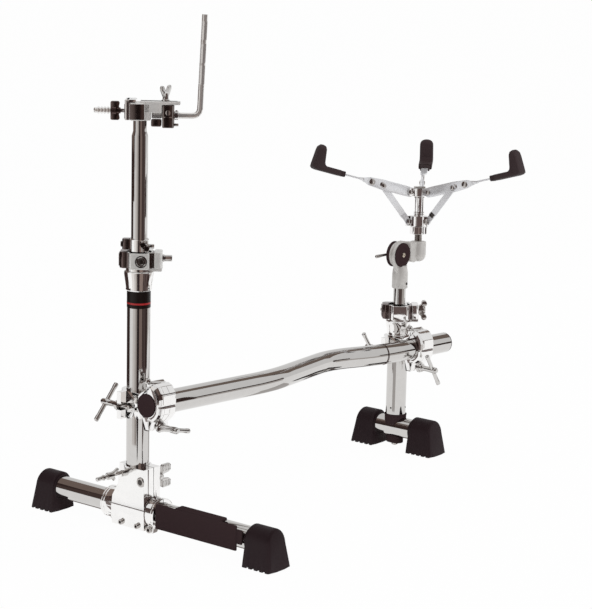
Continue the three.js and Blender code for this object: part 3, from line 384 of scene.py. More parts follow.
    def sweep(self, points: list[Vector], radius: float, sides: int, up: Point = (0, 0, 1)) -> "Form":
        """Adds a round rod through points, with flat ends.

        Args:
            points: the middle line.
            radius: of the rod.
            sides: faces round it.
            up: direction square to the line's plane.

        Returns:
            This form.
        """
        side, circle = Vector(up), [on_circle(radius, 360 * i / sides) for i in range(sides)]
        sections = []
        for i, point in enumerate(points):
            ahead = (points[min(i + 1, len(points) - 1)] - points[max(i - 1, 0)]).normalized()
            out = ahead.cross(side).normalized()
            sections.append([point + out * u + side * v for u, v in circle])
        return self.loft(sections)

    def hexagon(self, radius: float, low: float, high: float) -> "Form":
        """Adds a six-sided nut or key about Z with turned-off corners.

        Args:
            radius: to its corners.
            low: its foot.
            high: its top.

        Returns:
            This form.
        """
        return self.slab([on_circle(radius, 60 * i) for i in range(6)], low, high, Axis.Z, radius * 0.09)

    def screw(self, radius: float, height: float) -> "Form":
        """Adds a round screw head standing on z = 0 with a round recess for its key.

        Args:
            radius: of the head.
            height: of the head.

        Returns:
            This form.
        """
        hole, soft = radius * 0.52, radius * 0.14
        profile = [(0, height * 0.35), (hole, height * 0.35), (hole, height - soft / 2),
                   (hole + soft / 2, height), (radius - soft, height), (radius, height - soft),
                   (radius, 0), (0, 0)]
        return self.lathe(profile, steps=36)

    def thread(self, radius: float, low: float, high: float, pitch: float = 1.5) -> "Form":
        """Adds a threaded rod about Z, as close ridges.

        Args:
            radius: outer radius.
            low: its foot.
            high: its top.
            pitch: distance between ridges.

        Returns:
            This form.
        """
        count = max(2, round((high - low) / pitch))
        step, core = (high - low) / count, radius * 0.86
        ridges = [pair for i in range(count)
                  for pair in ((core, low + i * step), (radius, low + (i + 0.5) * step))]
        return self.lathe([(0, low), *ridges, (core, high), (0, high)], steps=32)

    def wings(self, root: float, tip: float, half_span: float, web: float, waist: float) -> "Form":
        """Adds a pair of wings in the plane of X and Z for a bolt along X.

        Args:
            root: where they leave the hub.
            tip: their far end.
            half_span: half their height.
            web: their thickness.
            waist: half their height between the wings at the tip.

        Returns:
            This form.
        """
        reach = tip - root
        upper = [(root, waist), (root + reach * 0.3, half_span * 0.62), (tip - reach * 0.3, half_span),
                 (tip - reach * 0.08, half_span * 0.97), (tip, half_span * 0.8),
                 (tip - reach * 0.06, half_span * 0.5), (tip - reach * 0.32, waist)]
        outline = upper + [(x, -z) for x, z in reversed(upper)]
        return self.slab(outline, -web / 2, web / 2, Axis.Y, web * 0.3, 2)

    def rivet(self, radius: float, crown: float, foot: float, out: int, heights: Pair, at: Point,
              steps: int) -> "Form":
        """Adds a rivet's head along Y.

        Args:
            radius: of its foot.
            crown: radius of its flat top.
            foot: where it stands along Y.
            out: 1 or -1, the way it faces.
            heights: of the crown's edge and middle.
            at: where the axis starts.
            steps: faces round it.

        Returns:
            This form.
        """
        edge, top = heights
        profile = [(0, foot), (radius, foot), (radius, foot + 0.8 * out), (crown, foot + edge * out),
                   (0, foot + top * out)]
        return self.lathe(profile, Axis.Y, at, steps)

    def place(self, matrix: Matrix) -> "Form":
        """Moves all that was made so far by a matrix."""
        self.bm.transform(matrix)
        return self

    def take(self, other: "Form") -> "Form":
        """Adds another form's mesh to this one and frees it.

        Args:
            other: the other form.

        Returns:
            This form.
        """
        mesh = other.mesh("taken")
        self.bm.from_mesh(mesh)
        bpy.data.meshes.remove(mesh)
        return self

    def mesh(self, name: str) -> bpy.types.Mesh:
        """Mesh of this form, which is freed.

        Args:
            name: name of the mesh.

        Returns:
            The mesh.
        """
        made = bpy.data.meshes.new(name)
        self.bm.to_mesh(made)
        self.bm.free()
        return made


def shader(tree: bpy.types.NodeTree, kind: str, inputs: dict, **settings: str) -> bpy.types.Node:
    """Makes a shader node with its settings, values and links.

    Args:
        tree: where it goes.
        kind: its type, without the usual first word.
        inputs: a value, or an output to link, for each input's name or number.
        **settings: values of the node's own fields.

    Returns:
        The node.
    """
    made = tree.nodes.new(f"ShaderNode{kind}")
    for key, value in settings.items():
        setattr(made, key, value)
    for key, value in inputs.items():
        if isinstance(value, bpy.types.NodeSocket):
            tree.links.new(value, made.inputs[key])
        else:
            made.inputs[key].default_value = value
    return made


def combine(tree: bpy.types.NodeTree, operation: str, first: bpy.types.NodeSocket,
            second: bpy.types.NodeSocket | float) -> bpy.types.NodeSocket:
    """Result of a sum on an output and another output or a number."""
    return shader(tree, "Math", {0: first, 1: second}, operation=operation).outputs["Value"]


def straight_rays(tree: bpy.types.NodeTree) -> bpy.types.NodeSocket:
    """Tells rays from the camera, off gloss or through glass from light that fills in.

    Args:
        tree: where the nodes go.

    Returns:
        An output of 1 for the first kind and 0 for the rest.
    """
    path = shader(tree, "LightPath", {}).outputs
    seen = combine(tree, "MAXIMUM", path["Is Camera Ray"], path["Is Glossy Ray"])
    return combine(tree, "MAXIMUM", seen, path["Is Transmission Ray"])


def surface_group() -> bpy.types.NodeTree:
    """Shader group that all finishes share: smears, grain, and wear along edges.

    Returns:
        The group, made on first use.
    """
    name = "surface_detail"
    if name in bpy.data.node_groups:
        return bpy.data.node_groups[name]
    tree = bpy.data.node_groups.new(name, "ShaderNodeTree")
    for way, sockets in (("INPUT", {"Colour": "Color", "Worn": "Color", "Wear": "Float", "Roughness": "Float",
                                    "Smear": "Float", "Grain": "Float", "Bump": "Float"}),
                         ("OUTPUT", {"Colour": "Color", "Roughness": "Float", "Normal": "Vector"})):
        for key, kind in sockets.items():
            tree.interface.new_socket(key, in_out=way, socket_type=f"NodeSocket{kind}")
    given = tree.nodes.new("NodeGroupInput").outputs
    place = shader(tree, "TexCoord", {}).outputs["Object"]
    smears = shader(tree, "TexNoise", {"Vector": place, "Scale": 45.0, "Detail": 4.0, "Roughness": 0.62})
    fine = shader(tree, "TexNoise", {"Vector": place, "Scale": given["Grain"], "Detail": 3.0,
                                     "Roughness": 0.55})
    smears, fine = smears.outputs["Fac"], fine.outputs["Fac"]
    edge = shader(tree, "MapRange", {"Value": shader(tree, "NewGeometry", {}).outputs["Pointiness"],
                                     "From Min": 0.52, "From Max": 0.62})
    worn = combine(tree, "MULTIPLY", edge.outputs["Result"], smears)
    worn = combine(tree, "MULTIPLY", worn, given["Wear"])
    mix = shader(tree, "Mix", {"Factor": worn, "A": given["Colour"], "B": given["Worn"]}, data_type="RGBA")
    level = shader(tree, "MapRange", {"Value": fine, "To Min": 0.94, "To Max": 1.05})
    tone = shader(tree, "HueSaturation", {"Value": level.outputs["Result"], "Color": mix.outputs["Result"]})
    smear = combine(tree, "MULTIPLY", smears, given["Smear"])
    rough = combine(tree, "ADD", smear, given["Roughness"])
    height = combine(tree, "MULTIPLY", fine, given["Bump"])
    bump = shader(tree, "Bump", {"Distance": 0.0005, "Height": height})
    end = tree.nodes.new("NodeGroupOutput").inputs
    for key, output in (("Colour", tone.outputs["Color"]), ("Roughness", rough),
                        ("Normal", bump.outputs["Normal"])):
        tree.links.new(output, end[key])
    return tree


@dataclass(frozen=True)
class Finish:
    """A surface finish: its colour, gloss and the grain and wear on it."""

    name: str
    slot: Slot
    colour: Point
    metal: float
    roughness: float
    smear: float
    bump: float
    grain: float
    wear: float = 0.0
    worn: Point = (0.5, 0.5, 0.5)
    specular: float = 0.5

    def material(self) -> bpy.types.Material:
        """Material of this finish, made on first use.

        Returns:
            The node material.
        """
        if self.name in bpy.data.materials:
            return bpy.data.materials[self.name]
        made = bpy.data.materials.new(self.name)
        made.use_nodes = True
        surface = shader(made.node_tree, "Group", {})
        surface.node_tree = surface_group()
        values = {"Colour": (*self.colour, 1), "Worn": (*self.worn, 1), "Wear": self.wear,
                  "Roughness": self.roughness, "Smear": self.smear, "Grain": self.grain, "Bump": self.bump}
        for key, value in values.items():
            surface.inputs[key].default_value = value
        inputs = made.node_tree.nodes["Principled BSDF"].inputs
        inputs["Metallic"].default_value = self.metal
        inputs["Specular IOR Level"].default_value = self.specular
        for key, output in (("Base Color", "Colour"), ("Roughness", "Roughness"), ("Normal", "Normal")):
            made.node_tree.links.new(surface.outputs[output], inputs[key])
        return made


CHROME = Finish("polished_chrome", Slot.TUBE, (0.62, 0.605, 0.59), 1.0, 0.03, 0.05, 0.02, 120.0, 0.1)
BRIGHT = Finish("bright_casting", Slot.CASTING, (0.93, 0.92, 0.91), 1.0, 0.06, 0.08, 0.10, 60.0, 0.2)
PALE = Finish("brushed_casting", Slot.CASTING, (0.78, 0.77, 0.75), 0.45, 0.3, 0.12, 0.10, 300.0, 0.2)
ROD = Finish("bright_rod", Slot.TUBE, (0.80, 0.78, 0.76), 0.8, 0.1, 0.06, 0.05, 300.0, 0.1)
ARM = Finish("pale_strip", Slot.CASTING, (0.84, 0.84, 0.86), 0.5, 0.22, 0.1, 0.05, 300.0, 0.2)
SATIN = Finish("cast_alloy", Slot.CASTING, (0.67, 0.65, 0.625), 0.42, 0.38, 0.14, 0.45, 900.0, 0.3,
               (0.75, 0.74, 0.72))
STEEL = Finish("plated_steel", Slot.CASTING, (0.50, 0.47, 0.45), 1.0, 0.12, 0.1, 0.1, 300.0, 0.3,
               (0.7, 0.68, 0.66))
# Painted shade: a dark metal colour put on hollows, gaps and chrome faces that look dark from what they reflect.
SHADE = Finish("painted_shade_metal", Slot.CASTING, (0.12, 0.085, 0.08), 1.0, 0.14, 0.12, 0.12, 200.0, 0.6,
               (0.6, 0.56, 0.54))
# Dark steel of small screws, rivets and pads; the same colour is painted shade in the key sockets of screw
# heads.
DARK_STEEL_AND_SHADE = Finish("dark_steel_and_socket_shade", Slot.CASTING, (0.05, 0.04, 0.038), 1.0, 0.25, 0.15, 0.2, 500.0, 0.5,
                    (0.4, 0.38, 0.36))
RUBBER = Finish("black_rubber", Slot.RUBBER, (0.019, 0.0085, 0.011), 0.0, 0.5, 0.16, 0.3, 900.0, 0.3,
                (0.05, 0.045, 0.04), 0.2)
GRIP = Finish("grip_rubber", Slot.RUBBER, (0.042, 0.025, 0.027), 0.0, 0.5, 0.16, 0.3, 900.0, 0.3,
              (0.08, 0.07, 0.065), 0.25)
PLASTIC = Finish("moulded_plastic", Slot.PLASTIC, (0.046, 0.028, 0.030), 0.0, 0.6, 0.12, 0.15, 900.0, 0.3,
                 (0.05, 0.045, 0.045), 0.0)
NYLON = Finish("white_nylon", Slot.NYLON, (0.68, 0.66, 0.6), 0.0, 0.45, 0.1, 0.2, 700.0, 0.1)
BRASS = Finish("screw_brass", Slot.CASTING, (0.66, 0.58, 0.48), 1.0, 0.2, 0.1, 0.1, 400.0, 0.2)
BAND = Finish("band_brown", Slot.PLASTIC, (0.010, 0.005, 0.004), 0.0, 0.3, 0.08, 0.1, 900.0, 0.0,
              (0.5, 0.5, 0.5), 0.2)
RED = Finish("band_red", Slot.PLASTIC, (0.40, 0.012, 0.014), 0.0, 0.3, 0.08, 0.1, 900.0)


class Workshop:
    """Turns forms and CAD nodes into finished pieces on their bodies."""

    WELD = 0.00002
    FLAT = 0.6

    def __init__(self) -> None:
        """Notes which body each CAD node is on."""
        self.body_of = {name: node["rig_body"] for name, node in frame["nodes"].items()}
        self.replaced: set[str] = set()

    def piece(self, form: Form, name: str, node: str, finish: Finish, at: Matrix, sharp: float = SHARP,
              hides: bool = True) -> bpy.types.Object:
        """Makes an object of a form, with its place in its mesh.

        Args:
            form: the mesh in millimetres.
            name: name of the piece.
            node: CAD node whose body it rides on.
            finish: its surface.
            at: from the form's frame to the row frame.
            sharp: edges above this many degrees stay sharp.
            hides: True when it stands for that CAD node.

        Returns:
            The object.
        """
        mesh = form.place(at).mesh(name)
        mesh.materials.clear()
        mesh.materials.append(finish.material())
        mesh.polygons.foreach_set("material_index", [0] * len(mesh.polygons))
        mesh.shade_smooth()
        mesh.set_sharp_from_angle(angle=math.radians(sharp))
        made = put(name, mesh)
        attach(made, self.body_of[node])
        if hides:
            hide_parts(node)
            self.replaced.add(node)
        log.info("%s rides on %s", name, self.body_of[node])
        return made

    def detail(self, form: Form, name: str, node: str, finish: Finish, at: Matrix, sharp: float = SHARP) -> None:
        """Makes a small piece that stands beside the one for its CAD node; see piece()."""
        self.piece(form, name, node, finish, at, sharp, hides=False)

    def copy(self, node: str, finish: Finish, bevel: float,
             reshape: Callable[[bmesh.types.BMesh], None] | None = None) -> None:
        """Makes a finished copy of a CAD node with rounded edges.

        Args:
            node: the CAD node.
            finish: its surface.
            bevel: radius of its edges, in millimetres.
            reshape: change made to the copy's mesh first, if any.
        """
        form = Form()
        bm = form.bm
        bm.from_mesh(frame["nodes"][node].data)
        bmesh.ops.remove_doubles(bm, verts=bm.verts[:], dist=self.WELD)
        bmesh.ops.dissolve_limit(bm, angle_limit=math.radians(self.FLAT), verts=bm.verts[:], edges=bm.edges[:])
        if reshape:
            reshape(bm)
        made = self.piece(form, f"{node}_finished", node, finish, Matrix.Identity(4))
        rounding = made.modifiers.new("rounded_edges", "BEVEL")
        rounding.width = bevel * MILLIMETRE
        rounding.segments = 2
        rounding.limit_method = "ANGLE"
        rounding.angle_limit = math.radians(SHARP)
        rounding.harden_normals = True


def bare_material(name: str) -> bpy.types.Material:
    """Makes a material without nodes.

    Args:
        name: its name.

    Returns:
        The material.
    """
    made = bpy.data.materials.new(name)
    made.use_nodes = True
    made.node_tree.nodes.clear()
    return made


def sheet(matrix: Matrix) -> Form:
    """Makes a flat square that reaches from -1 to 1 along X and Y, and moves it.

    Args:
        matrix: from the square to the row frame.

    Returns:
        The form, in metres.
    """
    form = Form()
    bmesh.ops.create_grid(form.bm, x_segments=1, y_segments=1, size=1)
    return form.place(matrix)


def reflected(form: Form, name: str, colour: Point) -> None:
    """Puts a form on the stage in a flat colour that only glossy surfaces see.

    Args:
        form: the mesh, in metres.
        name: name of the object.
        colour: the same at any angle.
    """
    material = bare_material(name)
    glow = shader(material.node_tree, "Emission", {"Color": (*colour, 1)})
    shader(material.node_tree, "OutputMaterial", {"Surface": glow.outputs["Emission"]})
    mesh = form.mesh(name)
    mesh.materials.append(material)
    made = put(name, mesh)
    for ray in ("camera", "diffuse", "shadow", "transmission"):
        setattr(made, f"visible_{ray}", False)


@dataclass(frozen=True)
class Screen:
    """Upright curved screen round a centre between two directions, in degrees from X."""

    name: str
    centre: Vector
    start: float
    end: float
    radius: float
    low: float
    high: float
    colour: Point
    taper: float = 0.0
    steps: int = 24

    def build(self) -> None:
        """Makes the screen; its foot rises towards both sides by the taper."""
        form, pairs = Form(), []
        for i in range(self.steps + 1):
            share = i / self.steps
            x, y = on_circle(self.radius, self.start + (self.end - self.start) * share)
            foot = self.low + self.taper * (2 * share - 1) ** 2
            x, y = self.centre.x + x, self.centre.y + y
            pairs.append([form.bm.verts.new((x, y, z)) for z in (foot, self.high)])
        for (low, high), (next_low, next_high) in zip(pairs, pairs[1:]):
            form.bm.faces.new((low, next_low, next_high, high))
        reflected(form, self.name, self.colour)


@dataclass(frozen=True)
class Studio:
    """Camera, lamps, floor, backdrop and the dark screens that the chrome mirrors."""

    places: Places
    lens: float = 121.243
    sensor: float = 36.0
    camera_at: Point = (-2382.84, -2204.45, 1041.51)
    yaw: float = 51.7
    pitch: float = 11.4587
    roll: float = 1.28798
    fill_light: float = 0.75
    floor_half: float = 20.0
    floor_drop: float = 0.0004
    floor_tone: Point = (0.98, 0.98, 0.98)
    floor_glow: float = 0.97

    def build(self) -> None:
        """Makes the whole studio."""
        self._camera()
        self._world()
        self._floor()
        self._screens()
        self._lamp("key_lamp", (-1.6, -2.2, 2.6), 2.0, 26)
        self._lamp("side_lamp", (2.6, -1.2, 2.0), 1.5, 14)

    def _camera(self) -> None:
        """Camera at the photograph's angle."""
        yaw, pitch = math.radians(self.yaw), math.radians(self.pitch)
        ahead = Vector((math.sin(yaw) * math.cos(pitch), math.cos(yaw) * math.cos(pitch), -math.sin(pitch)))
        level = Vector((math.cos(yaw), -math.sin(yaw), 0))
        facing = Matrix((level, level.cross(ahead), -ahead)).transposed().to_4x4() @ turned(self.roll)
        data = bpy.data.cameras.new("camera")
        data.lens = self.lens
        data.sensor_width = self.sensor
        data.clip_end = 100.0
        made = put("camera", data)
        made.matrix_world = Matrix.Translation(self.places.post(False) @ Vector(self.camera_at)) @ facing
        bpy.context.scene.camera = made

    def _world(self) -> None:
        """Plain soft light from all sides, white behind the object."""
        world = bpy.data.worlds.new("studio")
        bpy.context.scene.world = world
        world.use_nodes = True
        tree = world.node_tree
        tree.nodes.clear()
        level = shader(tree, "MapRange", {"Value": straight_rays(tree), "To Min": self.fill_light})
        sky = shader(tree, "Background", {"Strength": level.outputs["Result"]})
        shader(tree, "OutputWorld", {"Surface": sky.outputs["Background"]})

    def _floor(self) -> None:
        """White floor that keeps a soft shadow."""
        size = Matrix.Diagonal((self.floor_half, self.floor_half, 1, 1))
        mesh = sheet(shift(z=-self.floor_drop) @ size).mesh("floor")
        paper = bare_material("white_paper")
        tree = paper.node_tree
        matt = shader(tree, "BsdfDiffuse", {"Color": (*self.floor_tone, 1)})
        glow = shader(tree, "Emission", {"Strength": 1.0})
        share = combine(tree, "MULTIPLY", straight_rays(tree), self.floor_glow)
        mix = shader(tree, "MixShader", {"Fac": share, 1: matt.outputs["BSDF"], 2: glow.outputs["Emission"]})
        shader(tree, "OutputMaterial", {"Surface": mix.outputs["Shader"]})
        mesh.materials.append(paper)
        floor = put("floor", mesh)

    def _screens(self) -> None:
        """Dark screens round the rack and grey strips of painted shadow beneath its foot bars, which only
        reflections show.
        """
        facing = math.degrees(math.atan2(self.camera_at[1], self.camera_at[0]))
        left, right = (self.places.post(side).translation for side in (False, True))
        middle = (left + right) / 2
        black, dark = (0.03, 0.02, 0.02), (0.045, 0.028, 0.026)
        near, tall, foot = 0.38, 1.8, 0.19
        for screen in (
            Screen("front_pale", left, facing - 58, facing - 38, near, 0.05, tall, (0.78, 0.75, 0.73)),
            Screen("front_grey", left, facing - 38, facing - 25, near, 0.05, tall, (0.56, 0.53, 0.51)),
            Screen("front_shade", left, facing - 25, facing - 15, near, 0.05, tall, (0.36, 0.32, 0.30)),
            Screen("front_black", left, facing - 15, facing + 5, near, 0.02, tall, black, 0.1),
            Screen("front_brown", left, facing + 5, facing + 33, near, foot, tall, (0.24, 0.18, 0.16)),
            Screen("side_dark", left, facing + 33, facing + 56, near, foot, tall, dark),
            Screen("side_low", left, facing + 66, facing + 90, near, foot, 0.33, dark),
            Screen("seat_dark", right, -160, -96, 0.8, 0.05, tall, (0.11, 0.08, 0.075)),
            Screen("seat_grey", right, -96, -48, 0.8, 0.05, 0.2, (0.5, 0.47, 0.45)),
            Screen("post_grey", right, -187, -155, 0.3, 0.0, 0.13, (0.5, 0.48, 0.47)),
            Screen("back_dark", left, 66, 128, 1.0, 0.0, 0.62, dark),
            Screen("back_brown", left, 66, 126, 3.0, 0.12, 3.6, (0.20, 0.15, 0.13)),
            Screen("back_edge", left, 126, 146, 3.0, 0.12, 2.7, (0.075, 0.05, 0.045)),
            Screen("bar_strip", right, -22, 14, 1.6, 0.9, 3.2, (0.19, 0.15, 0.13)),
            Screen("bar_line", middle, -57, -30, 2.2, 0.05, 0.41, dark),
        ):
            screen.build()
        # Painted shadow: grey strips on the floor under the foot bars, seen only in the bars' reflections.
        for name, post, half in (("left_shade", left, 0.25), ("right_shade", right, 0.08)):
            strip = sheet(shift(post.x + 0.04, post.y, 0.0002) @ Matrix.Diagonal((0.045, half, 1, 1)))
            reflected(strip, name, (0.25, 0.22, 0.21))

    @staticmethod
    def _lamp(name: str, at: Point, size: float, power: float) -> None:
        """Makes a soft square lamp, turned towards the rack's middle.

        Args:
            name: its name.
            at: its place, in metres.
            size: length of its sides.
            power: its power, in watts.
        """
        data = bpy.data.lights.new(name, "AREA")
        data.size = size
        data.energy = power
        lamp = put(name, data)
        lamp.location = at
        lamp.rotation_mode = "QUATERNION"
        middle = Vector((0, 0, 0.3))
        lamp.rotation_quaternion = (middle - Vector(at)).to_track_quat("-Z", "Y")
        lamp.visible_glossy = False


@dataclass
class Part:
    """Sub-assembly of the rack."""

    shop: Workshop
    places: Places

    def build(self) -> None:
        """Makes its pieces."""
        raise NotImplementedError


@dataclass
class Feet(Part):
    """Foot bars and their rubber boots."""

    base_half: float = 26.9
    top_half: float = 22.2
    spring: float = BAR_CENTRE[2]
    rise: float = 65.3
    inner_slope: float = 3.0
    outer_slope: float = 11.0
    groove: float = 3.2
    pitch: float = 11.12
    front_reach: float = 6.0

    def build(self) -> None:
        """Makes both foot bars and the four boots."""
        rim = TUBE_RADIUS
        lip = [(rim, -0.5), (rim + 1.6, -0.5), (rim + 2.6, 0.9), (rim + 1.6, 2.4), (rim, 2.4)]
        slope = self.inner_slope * self.spring / self.rise
        for side, base in (("left", self.places.post(False)), ("right", self.places.post(True))):
            low, high = self.places.span(f"{side}_foot_bar", base)
            bar = Form().tube(TUBE_WALL, TUBE_RADIUS, low.y, high.y, Axis.Y, BAR_CENTRE)
            self.shop.piece(bar, f"{side}_foot_tube", f"{side}_foot_bar", CHROME, base)
            for end, turn, reach in (("front", 180, self.front_reach), ("back", 0, 0.0)):
                node = f"{side}_foot_{end}"
                low, high = self.places.span(node, base)
                middle = shift(y=(low.y + high.y + reach) / 2)
                boot = self._boot(high.y - low.y + reach).place(middle @ turned(turn))
                self.shop.piece(boot, f"{node}_boot", node, RUBBER, base, 50)
                y = high.y + reach - slope - 0.5 if turn else low.y + slope - 1.4
                collar = Form().lathe(lip, Axis.Y, (0, y, self.spring), closed=True)
                self.shop.detail(collar, f"{node}_lip", node, RUBBER, base)

    def _boot(self, length: float) -> Form:
        """Boot with its closed end at +Y, its middle at y = 0 and its sole on z = 0.

        Args:
            length: along the bar.

        Returns:
            The form.
        """
        half, lead, soft, quarter = length / 2, 2.5, 5.0, math.pi / 2
        rim, floor, deep = 2.6, 1.9, self.groove
        stations = [(-half + lead * share, lead * (1 - math.sin(share * quarter)), 0.0)
                    for share in (0.0, 0.3, 0.65, 1.0)]
        for y in (-1.5 * self.pitch, -0.5 * self.pitch, 0.5 * self.pitch, 1.5 * self.pitch):
            stations += [(y - rim, 0.0, 0.0), (y - floor, 0.0, deep),
                         (y + floor, 0.0, deep), (y + rim, 0.0, 0.0)]
        for share in (0.0, 0.3, 0.55, 0.78, 1.0):
            turn = share * quarter
            stations.append((half - soft + soft * math.sin(turn), soft * (1 - math.cos(turn)), 0.0))
        return Form().loft([self._section(y, inset, depth, half) for y, inset, depth in stations])

    def _section(self, y: float, inset: float, depth: float, half: float) -> list[Point]:
        """Outline of the boot at one place along it.

        Args:
            y: where the section meets the floor.
            inset: how far its outline is drawn in.
            depth: how high the sole is lifted, for a groove.
            half: half the boot's length.

        Returns:
            Points round the section.
        """
        share = (y + half) / (2 * half)
        slope = -self.inner_slope * (1 - share) + self.outer_slope * share
        base, top = self.base_half - inset, self.top_half - inset
        arch = self.rise - self.spring - inset
        outline = [(-base, depth + inset * 0.4), (-base * 0.5, depth), (0.0, depth), (base * 0.5, depth),
                   (base, depth + inset * 0.4), (base - 0.6, 7.0)]
        for i in range(17):
            turn = math.pi * i / 16
            outline.append((top * math.cos(turn), self.spring + arch * math.sin(turn) ** 0.86))
        outline.append((-base + 0.6, 7.0))
        return [(x, y - slope * z / self.rise, z) for x, z in outline]


@dataclass
class NamePlate(Part):
    """Bare black plate clipped along the left foot bar."""

    def build(self) -> None:
        """Makes the plate and its fold over the bar."""
        node, base = "name_plate", self.places.post(False)
        x = self.places.span(node, base)[0].x
        plate = Form().box((x, -231, 21.5), (x + 4.4, -61, 62.5), 1.2, 3)
        plate.box((x + 1.4, -242, 34), (x + 4.4, -230, 57), 0.8)
        self.shop.piece(plate, "name_plate_face", node, PLASTIC, base)
        fold = Form().box((x + 2, -197, 59.4), (x + 20, -102, 65), 1.6, 3)
        fold.box((x + 0.6, -199, 60.4), (x + 4.2, -100, 63.4), 1.2)
        self.shop.detail(fold, "name_plate_fold", node, PLASTIC, base)


@dataclass
class BaseClamp(Part):
    """Clamp that joins the left post to its foot bar."""

    face: float = 24.0
    seat: float = 15.8
    rear: Pair = (-29.0, 93.0)
    front: Pair = (23.4, 97.5)

    def build(self) -> None:
        """Makes the two halves, both wing bolts and the face screws."""
        node, base = "base_clamp_front", self.places.post(False)
        for half in (node, "base_clamp_rear"):
            self.shop.copy(half, BRIGHT, 1.6)
        seams = Form()
        for y in (-57.0, -52.0, 52.5, 57.5):
            seams.ring(24.8, 26.0, y, y + 2.5, 0.6, Axis.Y, BAR_CENTRE)
        seams.lathe([(0, -18), (6.6, -18), (7.4, -17), (7.4, -6), (0, -6)], Axis.X, (0, -44, 15), 32)
        self.shop.detail(seams, "base_collar_rims", node, BRIGHT, base)
        # Painted shade: dark plates along the shoulder line, round the collar's edge and in the block's bevel.
        painted_marks = Form().box((-13.8, -36.2, 63), (-12.2, -35, 113.2), 0.3)
        painted_marks.ring(24.6, 25.4, -38.8, -37.1, 0.2, Axis.Y, BAR_CENTRE)
        painted_marks.slab([(35.4, 44), (50, 47), (46, 38), (36.6, 33)], -24.9, -22, Axis.X, 0.4)
        self.shop.detail(painted_marks, "base_clamp_shade_marks", node, SHADE, base)
        self._rear_bolt(base @ shift(0, *self.rear))
        self._front_bolt(base @ shift(0, *self.front))
        for name, radius, x, y, z in (("left", 5.2, -13.6, 38.9, 20.2), ("middle", 4.4, -23.6, 13.1, 17.8),
                                      ("right", 4.4, -23.6, -22.1, 17.8), ("end", 5.4, -17.6, -44, 15)):
            # The dark hex in each screw head is painted shade of its key socket.
            at, socket = base @ shift(x, y, z) @ LEFTWARD, Form().hexagon(radius * 0.5, 1.0, 2.2)
            self.shop.detail(Form().screw(radius, 4.4), f"base_screw_{name}", node, STEEL, at)
            self.shop.detail(socket, f"base_screw_{name}_socket", node, DARK_STEEL_AND_SHADE, at)

    def _rear_bolt(self, at: Matrix) -> None:
        """Makes the wing bolt whose wings are on the right.

        Args:
            at: frame of its axis.
        """
        node, seat = "base_rear_wing_bolt", self.seat
        facing = at @ shift(-self.face - 0.3) @ LEFTWARD
        self.shop.detail(Form().screw(8.2, 1.6), "base_rear_head", node, STEEL, facing)
        # The dark hex is painted shade of the head's key socket.
        self.shop.detail(Form().hexagon(5.4, 0.2, 1.9), "base_rear_socket", node, DARK_STEEL_AND_SHADE, facing)
        nut = Form().rod(3.0, -self.face - 1, seat + 12, Axis.X)
        nut.lathe([(0, 0), (7.6, 0), (7.6, 1.6), (6.6, 2.2), (6.2, 9), (5.0, 11), (0, 11)],
                  Axis.X, (seat, 0, 0), 40)
        lobe = [(4, 3.5), (9, 6.5), (9.5, 17.5), (12, 19.5), (28, 19.5), (30, 17.5), (30, 8), (26, 5),
                (14, 3.5)]
        for sign in (-1, 1):
            nut.slab([(seat + x, sign * z) for x, z in lobe], -2.8, 2.8, Axis.Y, 1.2, 3)
            low, high = sorted((sign * 8, sign * 17.5))
            for x in range(12, 29, 4):
                nut.box((seat + x, -3.4, low), (seat + x + 1.6, 3.4, high), 0.5)
        self.shop.piece(nut, "base_rear_wing_nut", node, CHROME, at)

    def _front_bolt(self, at: Matrix) -> None:
        """Makes the long wing bolt whose tip is on the left.

        Args:
            at: frame of its axis.
        """
        node, seat = "base_front_wing_bolt", self.seat
        self.shop.piece(Form().thread(3.0, -62, 18), "base_front_thread", node, STEEL, at @ Axis.X.matrix())
        bolt = Form().wings(-38, -25.5, 12.5, 4.6, 4.5).place(turned(24, "X"))
        bolt.rod(3.4, -72, -60, Axis.X, round_off=1.4)
        bolt.lathe([(0, -58), (4.2, -58), (4.8, -56), (3.6, -54), (3.6, -49), (0, -49)], Axis.X, steps=32)
        bolt.lathe([(0, -47), (5, -47), (6, -46), (6, -35), (5, -34), (0, -34)], Axis.X, steps=40)
        bolt.lathe([(0, 0), (6.6, 0), (6.6, 4), (5.6, 5), (0, 5)], Axis.X, (seat, 0, 0), 6)
        self.shop.detail(bolt, "base_front_wing", node, CHROME, at)


